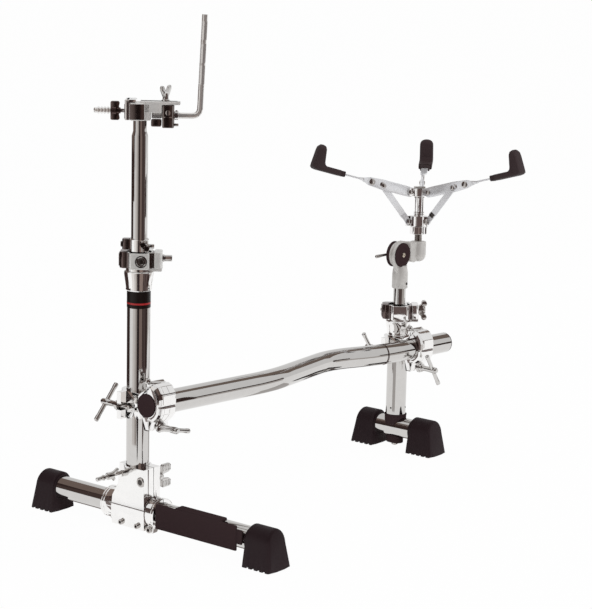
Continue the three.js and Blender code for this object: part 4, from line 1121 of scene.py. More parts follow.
@dataclass
class Posts(Part):
    """Both posts, the tom stem, the seat tube and their nylon bushes."""

    band: Pair = (376.0, 404.0)
    rivet_turns: Pair = (-174, -73)
    rivet_height: float = 79.0

    def build(self) -> None:
        """Makes the posts with their bushes, the band, the rivets and both stems."""
        left, right, wall = self.places.post(False), self.places.post(True), TUBE_RADIUS
        for side, base in (("left", left), ("right", right)):
            node = f"{side}_post_tube"
            low, high = self.places.span(node, base)
            self.shop.piece(Form().tube(TUBE_WALL, wall, low.z, high.z), f"{side}_post", node, CHROME, base)
            self.shop.copy(f"{side}_height_bush", NYLON, 0.4)
        foot, top = self.band
        outer = wall + 0.25
        band = Form().lathe([(wall, foot), (outer, foot + 0.2), (outer, top), (wall, top)],
                            steps=96, closed=True)
        self.shop.detail(band, "post_band", "left_post_tube", BAND, left)
        stripe = Form().ring(outer, outer + 0.15, foot + 6, foot + 9, 0.2, steps=96)
        self.shop.detail(stripe, "post_band_stripe", "left_post_tube", RED, left)
        for i, turn in enumerate(self.rivet_turns):
            dot = Form().rod(1.7, wall - 1, wall + 0.35, Axis.X, round_off=0.3, steps=24)
            at = right @ shift(z=self.rivet_height) @ turned(turn)
            self.shop.detail(dot, f"right_post_rivet_{i + 1}", "right_post_tube", DARK_STEEL_AND_SHADE, at)
        stem = Form().lathe([(11.5, 300), (12.9, 300), (13.15, 300.4), (13.15, 652.6), (12.8, 654), (11.4, 659),
                             (10.95, 660.6), (10.95, 700), (9.4, 700), (9.4, 660), (11.5, 653)],
                            steps=96, closed=True)
        self.shop.piece(stem, "tom_stem_tube", "tom_stem", CHROME, left)
        self.shop.piece(Form().tube(1.5, 11.7, 125, 330), "seat_tube_polished", "seat_tube", CHROME, right)


@dataclass
class HeightCasting(Part):
    """Cup with a split clamp ring on top of a post, and its bolt: a round key left and wings right."""

    right: bool
    cup: Pair
    block: Pair
    bore: float

    def build(self) -> None:
        """Makes the cup, the ring with its ears and the bolt."""
        node, base = f"{'right' if self.right else 'left'}_height_casting", self.places.casting(self.right)
        (low, top), (foot, head), hole = self.cup, self.block, self.bore + 0.4
        cup = Form().lathe([(19.3, low), (20.4, low), (21.4, low + 1.4), (21.2, low + 3.6), (20.9, low + 4.6),
                            (22.4, low + 14), (24.2, top - 5), (24.2, top - 1.4), (23, top), (21.4, top + 0.6),
                            (21.2, foot), (21.2, head - 0.8), (20.4, head), (hole, head), (hole, low + 27.4),
                            (19.3, low + 27.4)], steps=96, closed=True)
        self.shop.piece(cup, f"{node}_cup", node, BRIGHT, base)
        self._block(node, base)
        middle = shift(z=(foot + head) / 2)
        if self.right:
            self._wings(base @ middle @ shift(y=17.6))
        else:
            self._screw(node, base @ middle @ shift(4.5, -22) @ turned(90, "X"))
            self._key(base @ middle @ shift(y=17.6))

    def _block(self, node: str, base: Matrix) -> None:
        """Makes the front block; the ears, their ribs and two fillers beside the block are in painted shade.

        Args:
            node: the casting's CAD node.
            base: frame of the casting.
        """
        foot, head = self.block
        front = Form().slab([(-15.6, -8), (-15.6, -18.5), (-12.2, -22), (13.4, -22), (17, -18.5), (17, -8)],
                            foot, head, edge=1.4, segments=3)
        front.box((14, -9, foot), (21.4, 25, head), 1.2, 3)
        front.box((17, -9, foot - 4.5), (36.9, 25, foot + 1), 1.2, 3)
        front.slab([(24.6, -10), (33, -10), (36.9, -5), (36.9, 21), (34, 25), (24.6, 25)],
                   foot, head, edge=1.2, segments=3)
        self.shop.detail(front, f"{node}_block", node, BRIGHT if self.right else PALE, base)
        # Painted shade: the ears, their ribs and the fillers beside the block are dark where the chrome looks
        # dark.
        ear = Form().slab([(-8, -9), (-8, 25), (-25, 25), (-31, 20), (-31, -4), (-26, -9)],
                          foot, head, edge=1.4, segments=3)
        ear.box((21, -7, foot + 0.5), (25, 20, head - 1.5), 0.5)
        ear.slab([(17.6, -12), (17.6, -8.6), (21.4, -8.6), (21.4, -9.4)], foot + 1, head - 1, edge=0.2)
        self.shop.detail(ear, f"{node}_ear", node, SHADE, base)
        ribs = Form()
        for y in (-2, 6, 14):
            ribs.box((-32.6, y, foot + 3), (-30, y + 4, head - 3), 0.7)
        self.shop.detail(ribs, f"{node}_ear_ribs", node, SHADE, base)

    def _screw(self, node: str, at: Matrix) -> None:
        """Makes the screw in the front block.

        Args:
            node: the casting's CAD node.
            at: frame of its axis.
        """
        self.shop.detail(Form().screw(8, 1.8), f"{node}_screw", node, STEEL, at)
        # The dark hex is painted shade of the screw's key socket.
        self.shop.detail(Form().hexagon(4.6, 0.2, 1.1), f"{node}_screw_socket", node, DARK_STEEL_AND_SHADE, at)
        ring = Form().ring(8.2, 9.6, -0.4, 0.7, 0, steps=48)
        self.shop.detail(ring, f"{node}_screw_ring", node, DARK_STEEL_AND_SHADE, at)

    def _key(self, at: Matrix) -> None:
        """Makes the left bolt with its round head.

        Args:
            at: frame of its axis.
        """
        key = Form().rod(3, -34, 42, Axis.X)
        key.lathe([(0, 37.2), (6.2, 37.2), (6.2, 39.2), (5.3, 39.8), (5.3, 50.6), (4.4, 52.2), (0, 52.2)],
                  Axis.X, steps=48)
        self.shop.piece(key, "left_height_key", "left_height_bolt", CHROME, at)

    def _wings(self, at: Matrix) -> None:
        """Makes the right bolt with its wings.

        Args:
            at: frame of its axis.
        """
        bolt = Form().rod(3, -34, 44, Axis.X)
        bolt.lathe([(0, 37.2), (6.8, 37.2), (6.8, 38.8), (5.6, 39.6), (5.8, 46), (7, 48.4), (6, 51), (0, 51)],
                   Axis.X, steps=48)
        bolt.wings(38.5, 53.5, 18, 11.0, 8.0)
        for z in (-13, 13):
            bolt.rod(5.4, -7.4, 7.4, Axis.Y, (48.5, 0, z), 1.6)
        self.shop.piece(bolt, "right_height_wings", "right_height_wing_bolt", STEEL, at)


@dataclass
class MemoryLock(Part):
    """Memory lock ring on the tom stem with its bolt and screw."""

    foot: float = 467.2
    height: float = 20.4

    def build(self) -> None:
        """Makes the lock."""
        node, base = "left_memory_lock", self.places.casting(False)
        foot, top = self.foot, self.foot + self.height
        middle = (foot + top) / 2
        ring = Form().lathe([(13.5, foot), (15.4, foot), (16, foot + 0.8), (16, top - 0.8), (15.4, top),
                             (13.5, top)], steps=72, closed=True)
        ring.box((5, -18.5, foot + 1), (9, -12, top - 1), 1.0)
        ring.box((11, -17.5, foot + 1), (15, -9, top - 1), 1.0)
        self.shop.piece(ring, "memory_lock_ring", node, BRIGHT, base)
        # Painted shade: the ear and its screw bosses are dark where the chrome looks dark.
        ear = Form().slab([(-13, -7.5), (-24, -7.5), (-27, -4.5), (-27, 4.5), (-24, 7.5), (-13, 7.5)],
                          foot + 3, top, edge=1.0)
        ear.lathe([(0, -22), (3.4, -22), (4.4, -21), (4.4, -19), (0, -19)], Axis.Y, (7, 0, middle + 3), 24)
        ear.lathe([(0, -21), (3.4, -21), (4.2, -20), (4.2, -17), (0, -17)], Axis.Y, (13.5, 0, middle - 3), 24)
        self.shop.detail(ear, "memory_lock_ear", node, SHADE, base)
        bolt = Form().rod(2.6, -19, 0, Axis.Y, (10, 0, middle))
        bolt.lathe([(0, -19.4), (4.4, -19.4), (5, -18.6), (5, -15.6), (0, -15.6)], Axis.Y, (10, 0, middle), 20)
        bolt.rod(3.6, 8, 19, Axis.X, (6, -12, middle), 1)
        self.shop.detail(bolt, "memory_lock_bolt", node, CHROME, base)
        at = base @ shift(-27, 0, middle + 1) @ LEFTWARD
        self.shop.detail(Form().screw(4.6, 2.6), "memory_lock_screw", node, DARK_STEEL_AND_SHADE, at)


@dataclass
class TomBracket(Part):
    """Bracket on top of the stem with its blocks, wing bolts and the L-shaped rod."""

    rod_height: float = 685.8
    bolt_height: float = 692.0
    rod_bolt_at: float = 40.2

    def build(self) -> None:
        """Makes the bracket and all it carries."""
        base = self.places.casting(False)
        self._body(base)
        self._strap_bolt(base @ shift(z=self.bolt_height))
        self._rod_bolt(base @ shift(self.rod_bolt_at))
        self._rod(base)

    def _body(self, base: Matrix) -> None:
        """Makes the bracket's casting and the two blocks that it holds.

        Args:
            base: frame of the castings on the left post.
        """
        body = Form().box((-15, -17, 677.7), (8.4, 17, 705.8), 2.2, 3)
        body.box((-4, -12, 677.7), (17, 12, 705), 2.0, 3)
        body.slab([(0, 708.4), (60, 708.4), (63.5, 706), (63.5, 703), (36, 701), (34, 691), (0, 688)],
                  -5, 5, Axis.Y, 1.0)
        body.slab([(0, -12), (35, -12), (56, -7), (63.5, -4), (63.5, 4), (56, 7), (35, 12), (0, 12)],
                  703, 708.4, edge=1.2, segments=3)
        body.box((6, -12, 690), (35, 12, 706), 1.6, 3)
        self.shop.piece(body, "bracket_casting", "bracket_body", PALE, base)
        block = Form().slab([(-23.4, -15), (-23.4, 15), (-15.3, 15), (-15.3, -15)],
                            678, 711, edge=1.6, segments=3)
        block.slab([(-23.4, 706), (-21, 711), (-6, 711), (-6, 707.6), (-15, 706)], -15, 15, Axis.Y, 0.8)
        self.shop.piece(block, "bracket_block", "bracket_clamp_block", BRIGHT, base)
        # Painted shade: thin dark plates on the clamp block's front and the casting's side.
        shade_plates = Form().box((-24.2, -12.5, 680.5), (-22.6, 12.5, 703.5))
        shade_plates.box((-15, -17.9, 679.5), (7.6, -16.4, 704))
        self.shop.detail(shade_plates, "bracket_shade_faces", "bracket_clamp_block", SHADE, base)
        # The rod's block is painted shade all over: dark colour for the dark reflections on its faces.
        rod_block = Form().box((35.3, -10, 666.5), (54.1, 10, 702.7), 1.8, 3)
        rod_block.box((17.6, -8, 668), (34, 8, 680), 2.4, 3)
        self.shop.piece(rod_block, "rod_block", "rod_clamp_block", SHADE, base)
        trim = Form().rod(4.4, -13.4, -9.6, Axis.Y, (45, 0, 691), 1.2)
        trim.rod(2.4, 54, 61, Axis.X, (0, 0, 671), 1.0)
        for left, right, foot, top in ((36.5, 38.3, 667.5, 701.5), (51.4, 53.4, 667.5, 701.5),
                                       (37, 53, 683, 684.6)):
            trim.box((left, -10.9, foot), (right, -9.4, top), 0.5)
        self.shop.detail(trim, "rod_block_trim", "rod_clamp_block", CHROME, base)

    def _strap_bolt(self, at: Matrix) -> None:
        """Makes the wing bolt on the left of the bracket, with its ribbed tail.

        Args:
            at: frame of its axis.
        """
        node = "bracket_wing_bolt"
        self.shop.piece(Form().thread(3.2, -34, -11.6), "strap_bolt_thread", node, STEEL, at @ Axis.X.matrix())
        wing = Form().lathe([(0, -46.5), (5.4, -46.5), (6.8, -45), (6.8, -38), (5, -36.4), (4.8, -31),
                             (3.6, -30.6), (0, -30.6)], Axis.X, steps=40)
        upper = [(-46.7, 4), (-46.7, 13.6), (-45, 15), (-34, 15), (-32, 12.5), (-33.4, 6), (-32, 3)]
        wing.slab(upper + [(x, -z) for x, z in reversed(upper)], -3.4, 3.4, Axis.Y, 1.0)
        # The wings and their hub are painted shade, dark where the chrome looks dark.
        self.shop.detail(wing, "strap_bolt_wings", node, SHADE, at)
        tail = Form().lathe([(0, -73), (3.2, -73), (4.4, -71.4), (4.6, -68), (4.4, -60), (4.8, -50), (4.8, -46),
                             (0, -46)], Axis.X, steps=40)
        for x in (-65.5, -60.5, -55.5, -50.5):
            tail.ring(4.2, 5.9, x - 1.7, x + 1.7, 0.7, Axis.X, steps=40)
        self.shop.detail(tail, "strap_bolt_tail", node, BRIGHT, at)

    def _rod_bolt(self, at: Matrix) -> None:
        """Makes the upright wing bolt over the rod's block.

        Args:
            at: frame of its axis.
        """
        bolt = Form().wings(712, 733.5, 15, 4.6, 4.0).place(turned(62) @ turned(-90, "Y"))
        bolt.lathe([(0, 692), (3, 692), (3, 708.8), (6.6, 708.8), (6.6, 710.4), (5, 711.4), (4.6, 718),
                    (3.8, 720.6), (0, 720.6)], steps=40)
        self.shop.piece(bolt, "rod_wing_bolt_polished", "rod_wing_bolt", CHROME, at)

    def _rod(self, base: Matrix) -> None:
        """Makes the L-shaped rod, the flats on its leg and its memory collar.

        Args:
            base: frame of the castings on the left post.
        """
        height = self.rod_height
        corner, tip = Vector((94.2, 0, height)), Vector((100.7, 0, 846.3))
        leg = (tip - corner).normalized()
        rounded = bend(corner - Vector((13, 0, 0)), corner, corner + leg * 13, 12)
        points = [Vector((18.5, 0, height)), *rounded, rounded[-1].lerp(tip, 0.5), tip - leg * 0.8]
        self.shop.piece(Form().sweep(points, 4.75, 32, (0, 1, 0)), "tom_rod_round", "tom_rod", ROD, base)
        along = leg.to_track_quat("Z", "Y").to_matrix().to_4x4()
        flats = Form()
        for foot, length in ((736, 30), (770, 30), (806, 29)):
            at = Matrix.Translation(corner + leg * (foot - height))
            flats.take(Form().hexagon(5.25, 0, length).place(at @ along))
        self.shop.detail(flats, "tom_rod_flats", "tom_rod", ROD, base, 20)
        collar = Form().lathe([(5.05, 54.6), (6.8, 54.6), (7.4, 55.2), (7.4, 60.1), (6.8, 60.7), (5.05, 60.7)],
                              Axis.X, (0, 0, height), closed=True)
        collar.rod(1.8, 5, 8.6, at=(57.6, 0, height), steps=20)
        self.shop.piece(collar, "rod_collar", "rod_memory_collar", BRIGHT, base)


@dataclass
class BarClamp(Part):
    """Clamp that holds the bent bar on a post: body, two hinged jaws and two T-bolts."""

    right: bool
    post_turn: float
    bar_turn: float
    low: float = -33.0
    high: float = 7.0
    bore: float = 19.4
    chamfer_at: float = -26.0
    lug_front: float = -24.0
    lug_top: float = -27.0
    front_radius: float = 22.8

    def build(self) -> None:
        """Makes the clamp."""
        side = "right" if self.right else "left"
        post, ring, node = self.places.clamp(self.right), self.places.bar(self.right), f"{side}_clamp_bar_jaw"
        self.shop.copy(f"{side}_clamp_body", BRIGHT, 1.1, lambda bm: self._open_front(bm, ring))
        self.shop.copy(f"{side}_clamp_post_jaw", BRIGHT, 1.4)
        self.shop.piece(self._jaw(), f"{side}_bar_jaw_faceted", node, BRIGHT, ring, 12)
        # Painted shade plates on the jaw's front, groove and slit.
        self.shop.detail(self._shades(), f"{side}_bar_jaw_shades", node, SHADE, ring)
        ball = [on_circle(5.6, 15 * i - 90) for i in range(1, 12)]
        pins = Form().lathe([(0, -5.6), *ball, (0, 5.6)], Axis.X, (-29, 3, 38.5), 32)
        pins.slab([(6.5, 28), (-4, 27), (-3, 35.5), (0.5, 39), (6.5, 37)], -25, 5, Axis.X, 1.4)
        self.shop.detail(pins, f"{side}_bar_hinge_pin", node, CHROME, ring)
        self._t_bolt(f"{side}_post_t_bolt", post @ shift(-30, 0, -10.05), self.post_turn)
        self._t_bolt(f"{side}_bar_t_bolt", ring @ shift(-13, 0, -35) @ turned(180), self.bar_turn)

    def _open_front(self, bm: bmesh.types.BMesh, ring: Matrix) -> None:
        """Draws in the body's outer edge round the bar's end and sets back its lug.

        Args:
            bm: mesh of the body, in metres.
            ring: frame of the ring on the bar.
        """
        back = ring.inverted()
        along = (ring.to_3x3() @ Vector((1, 0, 0))).normalized()
        bmesh.ops.bisect_plane(bm, geom=bm.verts[:] + bm.edges[:] + bm.faces[:], dist=0.00001,
                               plane_co=ring @ Vector((self.chamfer_at, 0, 0)), plane_no=along)
        for vert in bm.verts:
            at = back @ vert.co
            away = math.hypot(at.y, at.z)
            if at.x > self.low + 0.5 or at.y < 0 or away < self.bore + 1.5:
                continue
            if at.z < self.lug_top:
                at.x = self.lug_front
            else:
                at.y *= self.front_radius / away
                at.z *= self.front_radius / away
            vert.co = ring @ at

    def _jaw(self) -> Form:
        """Jaw over the bar: flats outside, a round bore, a groove across its middle and a pointed lug.

        Returns:
            The form, along the bar.
        """
        outer = [(-0.7, 33.5), (-9, 35.4), (-17.5, 31.5), (-24.5, 22), (-27.2, 13),
                 (-27.2, 1.6), (-25.4, 0.9), (-25.4, -0.9), (-27.2, -1.6),
                 (-26, -12.4), (-21.5, -19.6), (-14.5, -26)]
        lug, flat = [(-10, -30), (-10, -38), (-6.4, -41.5), (-0.7, -41.5)], [(-9, -27.4), (-0.7, -27.8)]
        bore = [on_circle(self.bore, -90 - 10 * i) for i in range(19)]
        inner = [(min(-0.7, y), z) for y, z in bore]
        front = []
        for x, share in ((self.low, 0.84), (self.low + 2.5, 0.93), (self.chamfer_at, 1.0),
                         (self.lug_front, 1.0)):
            section = [(y * share, z * share) for y, z in outer + flat] + inner
            front.append([(x, y, z) for y, z in section])
        jaw = Form().loft(front)
        jaw.slab(outer + lug + inner, self.lug_front - 0.5, -18.5, Axis.X, 0.7)
        jaw.slab(outer + flat + inner, -19.5, -6.5, Axis.X, 0.9)
        jaw.slab(outer + lug + inner, -7.5, self.high, Axis.X, 0.9)
        return jaw.box((self.low + 9, -27.9, 3.6), (self.high - 2, -25, 20), 1.2, 3)

    def _shades(self) -> Form:
        """Painted shade in the jaw's hollows: dark plates for the crescent round the bar's end, the groove and
        the slit below.

        Returns:
            The form, along the bar.
        """
        rim = [on_circle(21.0, -68 - 12.5 * i) for i in range(12, -1, -1)]
        edge = [(-11.4, -21), (-17.4, -16.3), (-21.4, -10.2), (-22.3, -1.4), (-22.3, 10.8), (-20.3, 18.2),
                (-14.5, 26), (-8, 29.3)]
        shades = Form().slab(rim + edge, self.low - 0.3, self.low + 0.4, Axis.X, 0.2, 1)
        shades.box((self.chamfer_at + 1, -27.0, -1.5), (self.high - 2, -25, 1.3), 0.3)
        return shades.slab([(5, -18), (-5, -18), (-0.6, -26.5), (0.6, -26.5)], self.low - 0.4, self.low + 4,
                           Axis.X, 0.3, 1)

    def _t_bolt(self, node: str, at: Matrix, turn: float) -> None:
        """Makes a T-bolt along Y with its cross rod turned about it.

        Args:
            node: its CAD node.
            at: frame of its axis.
            turn: turn of the cross rod, in degrees.
        """
        bolt = Form().lathe([(0, -8), (3.5, -8), (3.5, 10.6), (9, 10.6), (9.5, 11.2), (9.5, 13.6), (8.6, 14.4),
                             (7.6, 14.6), (7.8, 18.4), (6.4, 19), (5.4, 22), (5.0, 25), (5.1, 36), (5.6, 38),
                             (5.6, 48), (5.2, 50.6), (3.8, 52.6), (0, 53)], Axis.Y, steps=48)
        self.shop.piece(bolt, f"{node}_barrel", node, CHROME, at)
        end = [(0, 36), (3.0, 36), (4.0, 35), (4.1, 28), (3.6, 26.6)]
        rod = Form().lathe([(r, -z) for r, z in end] + end[::-1], steps=32)
        self.shop.detail(rod.place(turned(turn, "Y") @ shift(y=43)), f"{node}_cross", node, CHROME, at)


@dataclass
class BentBar(Part):
    """Bent bar between the posts with its end caps."""

    first_bend: float = 0.378
    peak: float = 0.684
    last_bend: float = 0.833
    peak_out: float = 51.7
    past_right: float = 75.2
    blend: float = 52.0
    left_end: float = -33.0

    def build(self) -> None:
        """Makes the bar, the crease at its last bend as a thin ring of painted shade, and the caps."""
        base, node, rim = self.places.bar(False), "curved_bar", TUBE_RADIUS
        across = turned(-self.places.bar_turn) @ Vector((self.places.post_span, -self.places.setback, 0))
        reach, out = across.x / math.cos(math.radians(self.places.bar_tilt)), across.y
        end = reach + self.past_right
        corners = [Vector((x, y, 0)) for x, y in ((self.left_end, 0), (reach * self.first_bend, 0),
                                                  (reach * self.peak, self.peak_out),
                                                  (reach * self.last_bend, out), (end, out))]
        line = [corners[0]]
        for before, at, after in zip(corners, corners[1:], corners[2:]):
            start = at + (before - at).normalized() * self.blend
            line += bend(start, at, at + (after - at).normalized() * self.blend, 16)
        self.shop.piece(Form().sweep([*line, corners[-1]], rim, 64), "bent_bar", node, CHROME, base, 60)
        angle = math.degrees(math.atan2(out - self.peak_out, reach * (self.last_bend - self.peak)))
        # Painted shade: a thin dark ring marks the crease.
        crease = Form().ring(rim - 0.6, rim + 0.2, -0.7, 0.7, 0.3, Axis.X)
        crease.place(shift(reach * self.last_bend + 8, out + 1.2) @ turned(angle / 2))
        self.shop.detail(crease, "bent_bar_crease", node, SHADE, base)
        radii, rest = (0, 14, 17.6, 18.8, 19.0, 18.4, 16.6, 16.6, 0), (2.0, 0.6, -0.3, -0.4, -12, -12)
        for side, away, at, crown in (("left", -1, (self.left_end, 0, 0), (3.6, 3.4, 3.0)),
                                      ("right", 1, (end, out, 0), (3.2, 3.1, 2.8))):
            profile = [(radius, away * height) for radius, height in zip(radii, crown + rest)]
            cap = Form().lathe(profile, Axis.X, at, 72)
            self.shop.piece(cap, f"bar_cap_{side}", f"bar_{side}_cap", PLASTIC, base)


@dataclass
class RightFoot(Part):
    """Saddles and bolt that join the right post to its foot bar."""

    def build(self) -> None:
        """Makes both saddles and the bolt."""
        base = self.places.post(True)
        self.shop.copy("post_saddle", PLASTIC, 0.8)
        self.shop.copy("lower_saddle", PLASTIC, 2.6)
        bolt = Form().lathe([(0, 3), (2.4, 3), (3.2, 3.8), (3.2, 84), (0, 84)], steps=24).hexagon(6, 4.2, 8.7)
        self.shop.piece(bolt, "foot_bolt_threaded", "foot_bolt", STEEL, base)
        rim = Form().lathe([(19.3, 62.5), (20.6, 62.6), (21.2, 63.4), (21.2, 65), (20.4, 65.7), (19.3, 65.7)],
                           steps=72, closed=True)
        self.shop.detail(rim, "post_saddle_rim", "post_saddle", PLASTIC, base)


@dataclass
class Tilter(Part):
    """Tilter of the drum seat: sleeve and disc below, arm and boss above, black cap and lever."""

    axis: Point = (-4.0, 0.0, 372.8)

    def build(self) -> None:
        """Makes the tilter."""
        base = self.places.post(True)
        hub = base @ Matrix.Translation(self.axis)
        self._lower(base, hub)
        self._upper(base)
        self._cap(hub)

    def _lower(self, base: Matrix, hub: Matrix) -> None:
        """Makes the sleeve, the neck and the lower disc.

        Args:
            base: frame of the right post.
            hub: frame of the tilter's axis.
        """
        node = "tilter_base"
        sleeve = Form().lathe([(12.1, 309), (14, 309), (14.75, 309.8), (14.75, 336), (14.4, 339), (14.0, 342),
                               (13.4, 346), (12.6, 352), (0, 354), (0, 331), (12.1, 331)],
                              steps=72, closed=True)
        sleeve.slab([(-14, 339), (14, 339), (14.5, 348), (17, 360), (18, 374), (-26, 374), (-24.5, 360),
                     (-17.5, 348)], -5.4, 3.0, Axis.Y, 1.6, 3)
        self.shop.piece(sleeve, "tilter_sleeve", node, SATIN, base, 45)
        disc = Form().lathe([(0, -6), (20, -6), (22.8, -5.4), (23.6, -4), (23.6, 1.6), (22.8, 3), (0, 3)],
                            Axis.Y, steps=96)
        self.shop.detail(disc, "tilter_lower_disc", node, SATIN, hub)
        facing = base @ shift(z=318) @ turned(-84) @ shift(14) @ Axis.X.matrix()
        self.shop.detail(Form().screw(2.6, 1.6), "tilter_set_screw", node, DARK_STEEL_AND_SHADE, facing)

    def _upper(self, base: Matrix) -> None:
        """Makes the arm with its boss and the threaded spindle.

        Args:
            base: frame of the right post.
        """
        node, basket = "tilter_arm", self.places.basket()
        arm = Form().lathe([(0, 3.4), (21.6, 3.4), (22.8, 4.6), (22.8, 9), (21.4, 10.3), (0, 10.3)],
                           Axis.Y, self.axis, 96)
        arm.slab([(-6, 396.4), (10, 396.8), (26, 393.5), (46, 391), (54, 390), (66, 391), (69, 372), (64, 362),
                  (54, 357), (40, 354), (22, 354), (-6, 350)], 3.2, 10.3, Axis.Y, 1.8, 3)
        arm.slab([(22, 393.8), (46, 391), (66, 391), (69, 372), (64, 362), (54, 357), (38, 353), (26, 356)],
                 -6, 10.3, Axis.Y, 2.2, 3)
        self.shop.piece(arm, "tilter_arm_cast", node, SATIN, base, 45)
        boss = Form().lathe([(0, -8.6), (5, -8.2), (9, -6.6), (12.4, -3.4), (14.6, 1.4), (15.2, 7), (15.2, 28),
                             (14.4, 29.6), (12, 30.4), (8, 30.4), (0, 30.4)], steps=72)
        self.shop.detail(boss, "tilter_boss", node, SATIN, basket)
        self.shop.detail(Form().thread(7.6, 30, 58.8, 1.9), "spindle_thread", node, STEEL, basket)
        self.shop.detail(Form().rod(5, 58, 128, round_off=1), "spindle_tip", node, CHROME, basket)

    def _cap(self, hub: Matrix) -> None:
        """Makes the black cap with its screw in front, and the washer and lever behind.

        Args:
            hub: frame of the tilter's axis.
        """
        node = "tilter_lever_bolt"
        cap = Form().lathe([(0, -9.2), (16.4, -9.4), (19, -9.8), (21.4, -9.6), (22.7, -8.6), (22.9, -7),
                            (22.3, -6.3), (0, -6.3)], Axis.Y, steps=96)
        self.shop.piece(cap, "tilter_cap", node, PLASTIC, hub)
        for i, radius in enumerate((19.6, 14.0)):
            profile = [(radius - 0.7, -9.3), (radius, -9.85), (radius + 0.7, -9.3)]
            ring = Form().lathe(profile, Axis.Y, steps=96, closed=True)
            self.shop.detail(ring, f"tilter_cap_ring_{i + 1}", node, PLASTIC, hub)
        back = Form().lathe([(0, 10.6), (23.4, 10.6), (24, 11.2), (24, 13.4), (23.2, 14), (0, 14)],
                            Axis.Y, steps=96)
        back.lathe([(22.9, 7.2), (23.6, 7.8), (23.6, 10.4), (22.9, 10.6)], Axis.Y, steps=96, closed=True)
        self.shop.detail(back, "tilter_back_washer", node, PLASTIC, hub)
        screw = Form().lathe([(0, -10.2), (1.5, -10.2), (1.5, -11), (3.8, -11), (4.4, -10.4), (4.4, -9),
                              (0, -9)], Axis.Y, steps=36)
        self.shop.detail(screw, "tilter_screw", node, BRASS, hub)
        lever = Form().lathe([(0, -51), (2.2, -50.6), (3.1, -49.4), (3.3, -46), (3.0, -38), (2.6, -30),
                              (2.5, 2), (0, 2)], Axis.X, (0, 17.5, 0), 32)
        lever.rod(4.6, 13.8, 21, Axis.Y, round_off=1)
        self.shop.detail(lever, "tilter_lever", node, STEEL, hub)


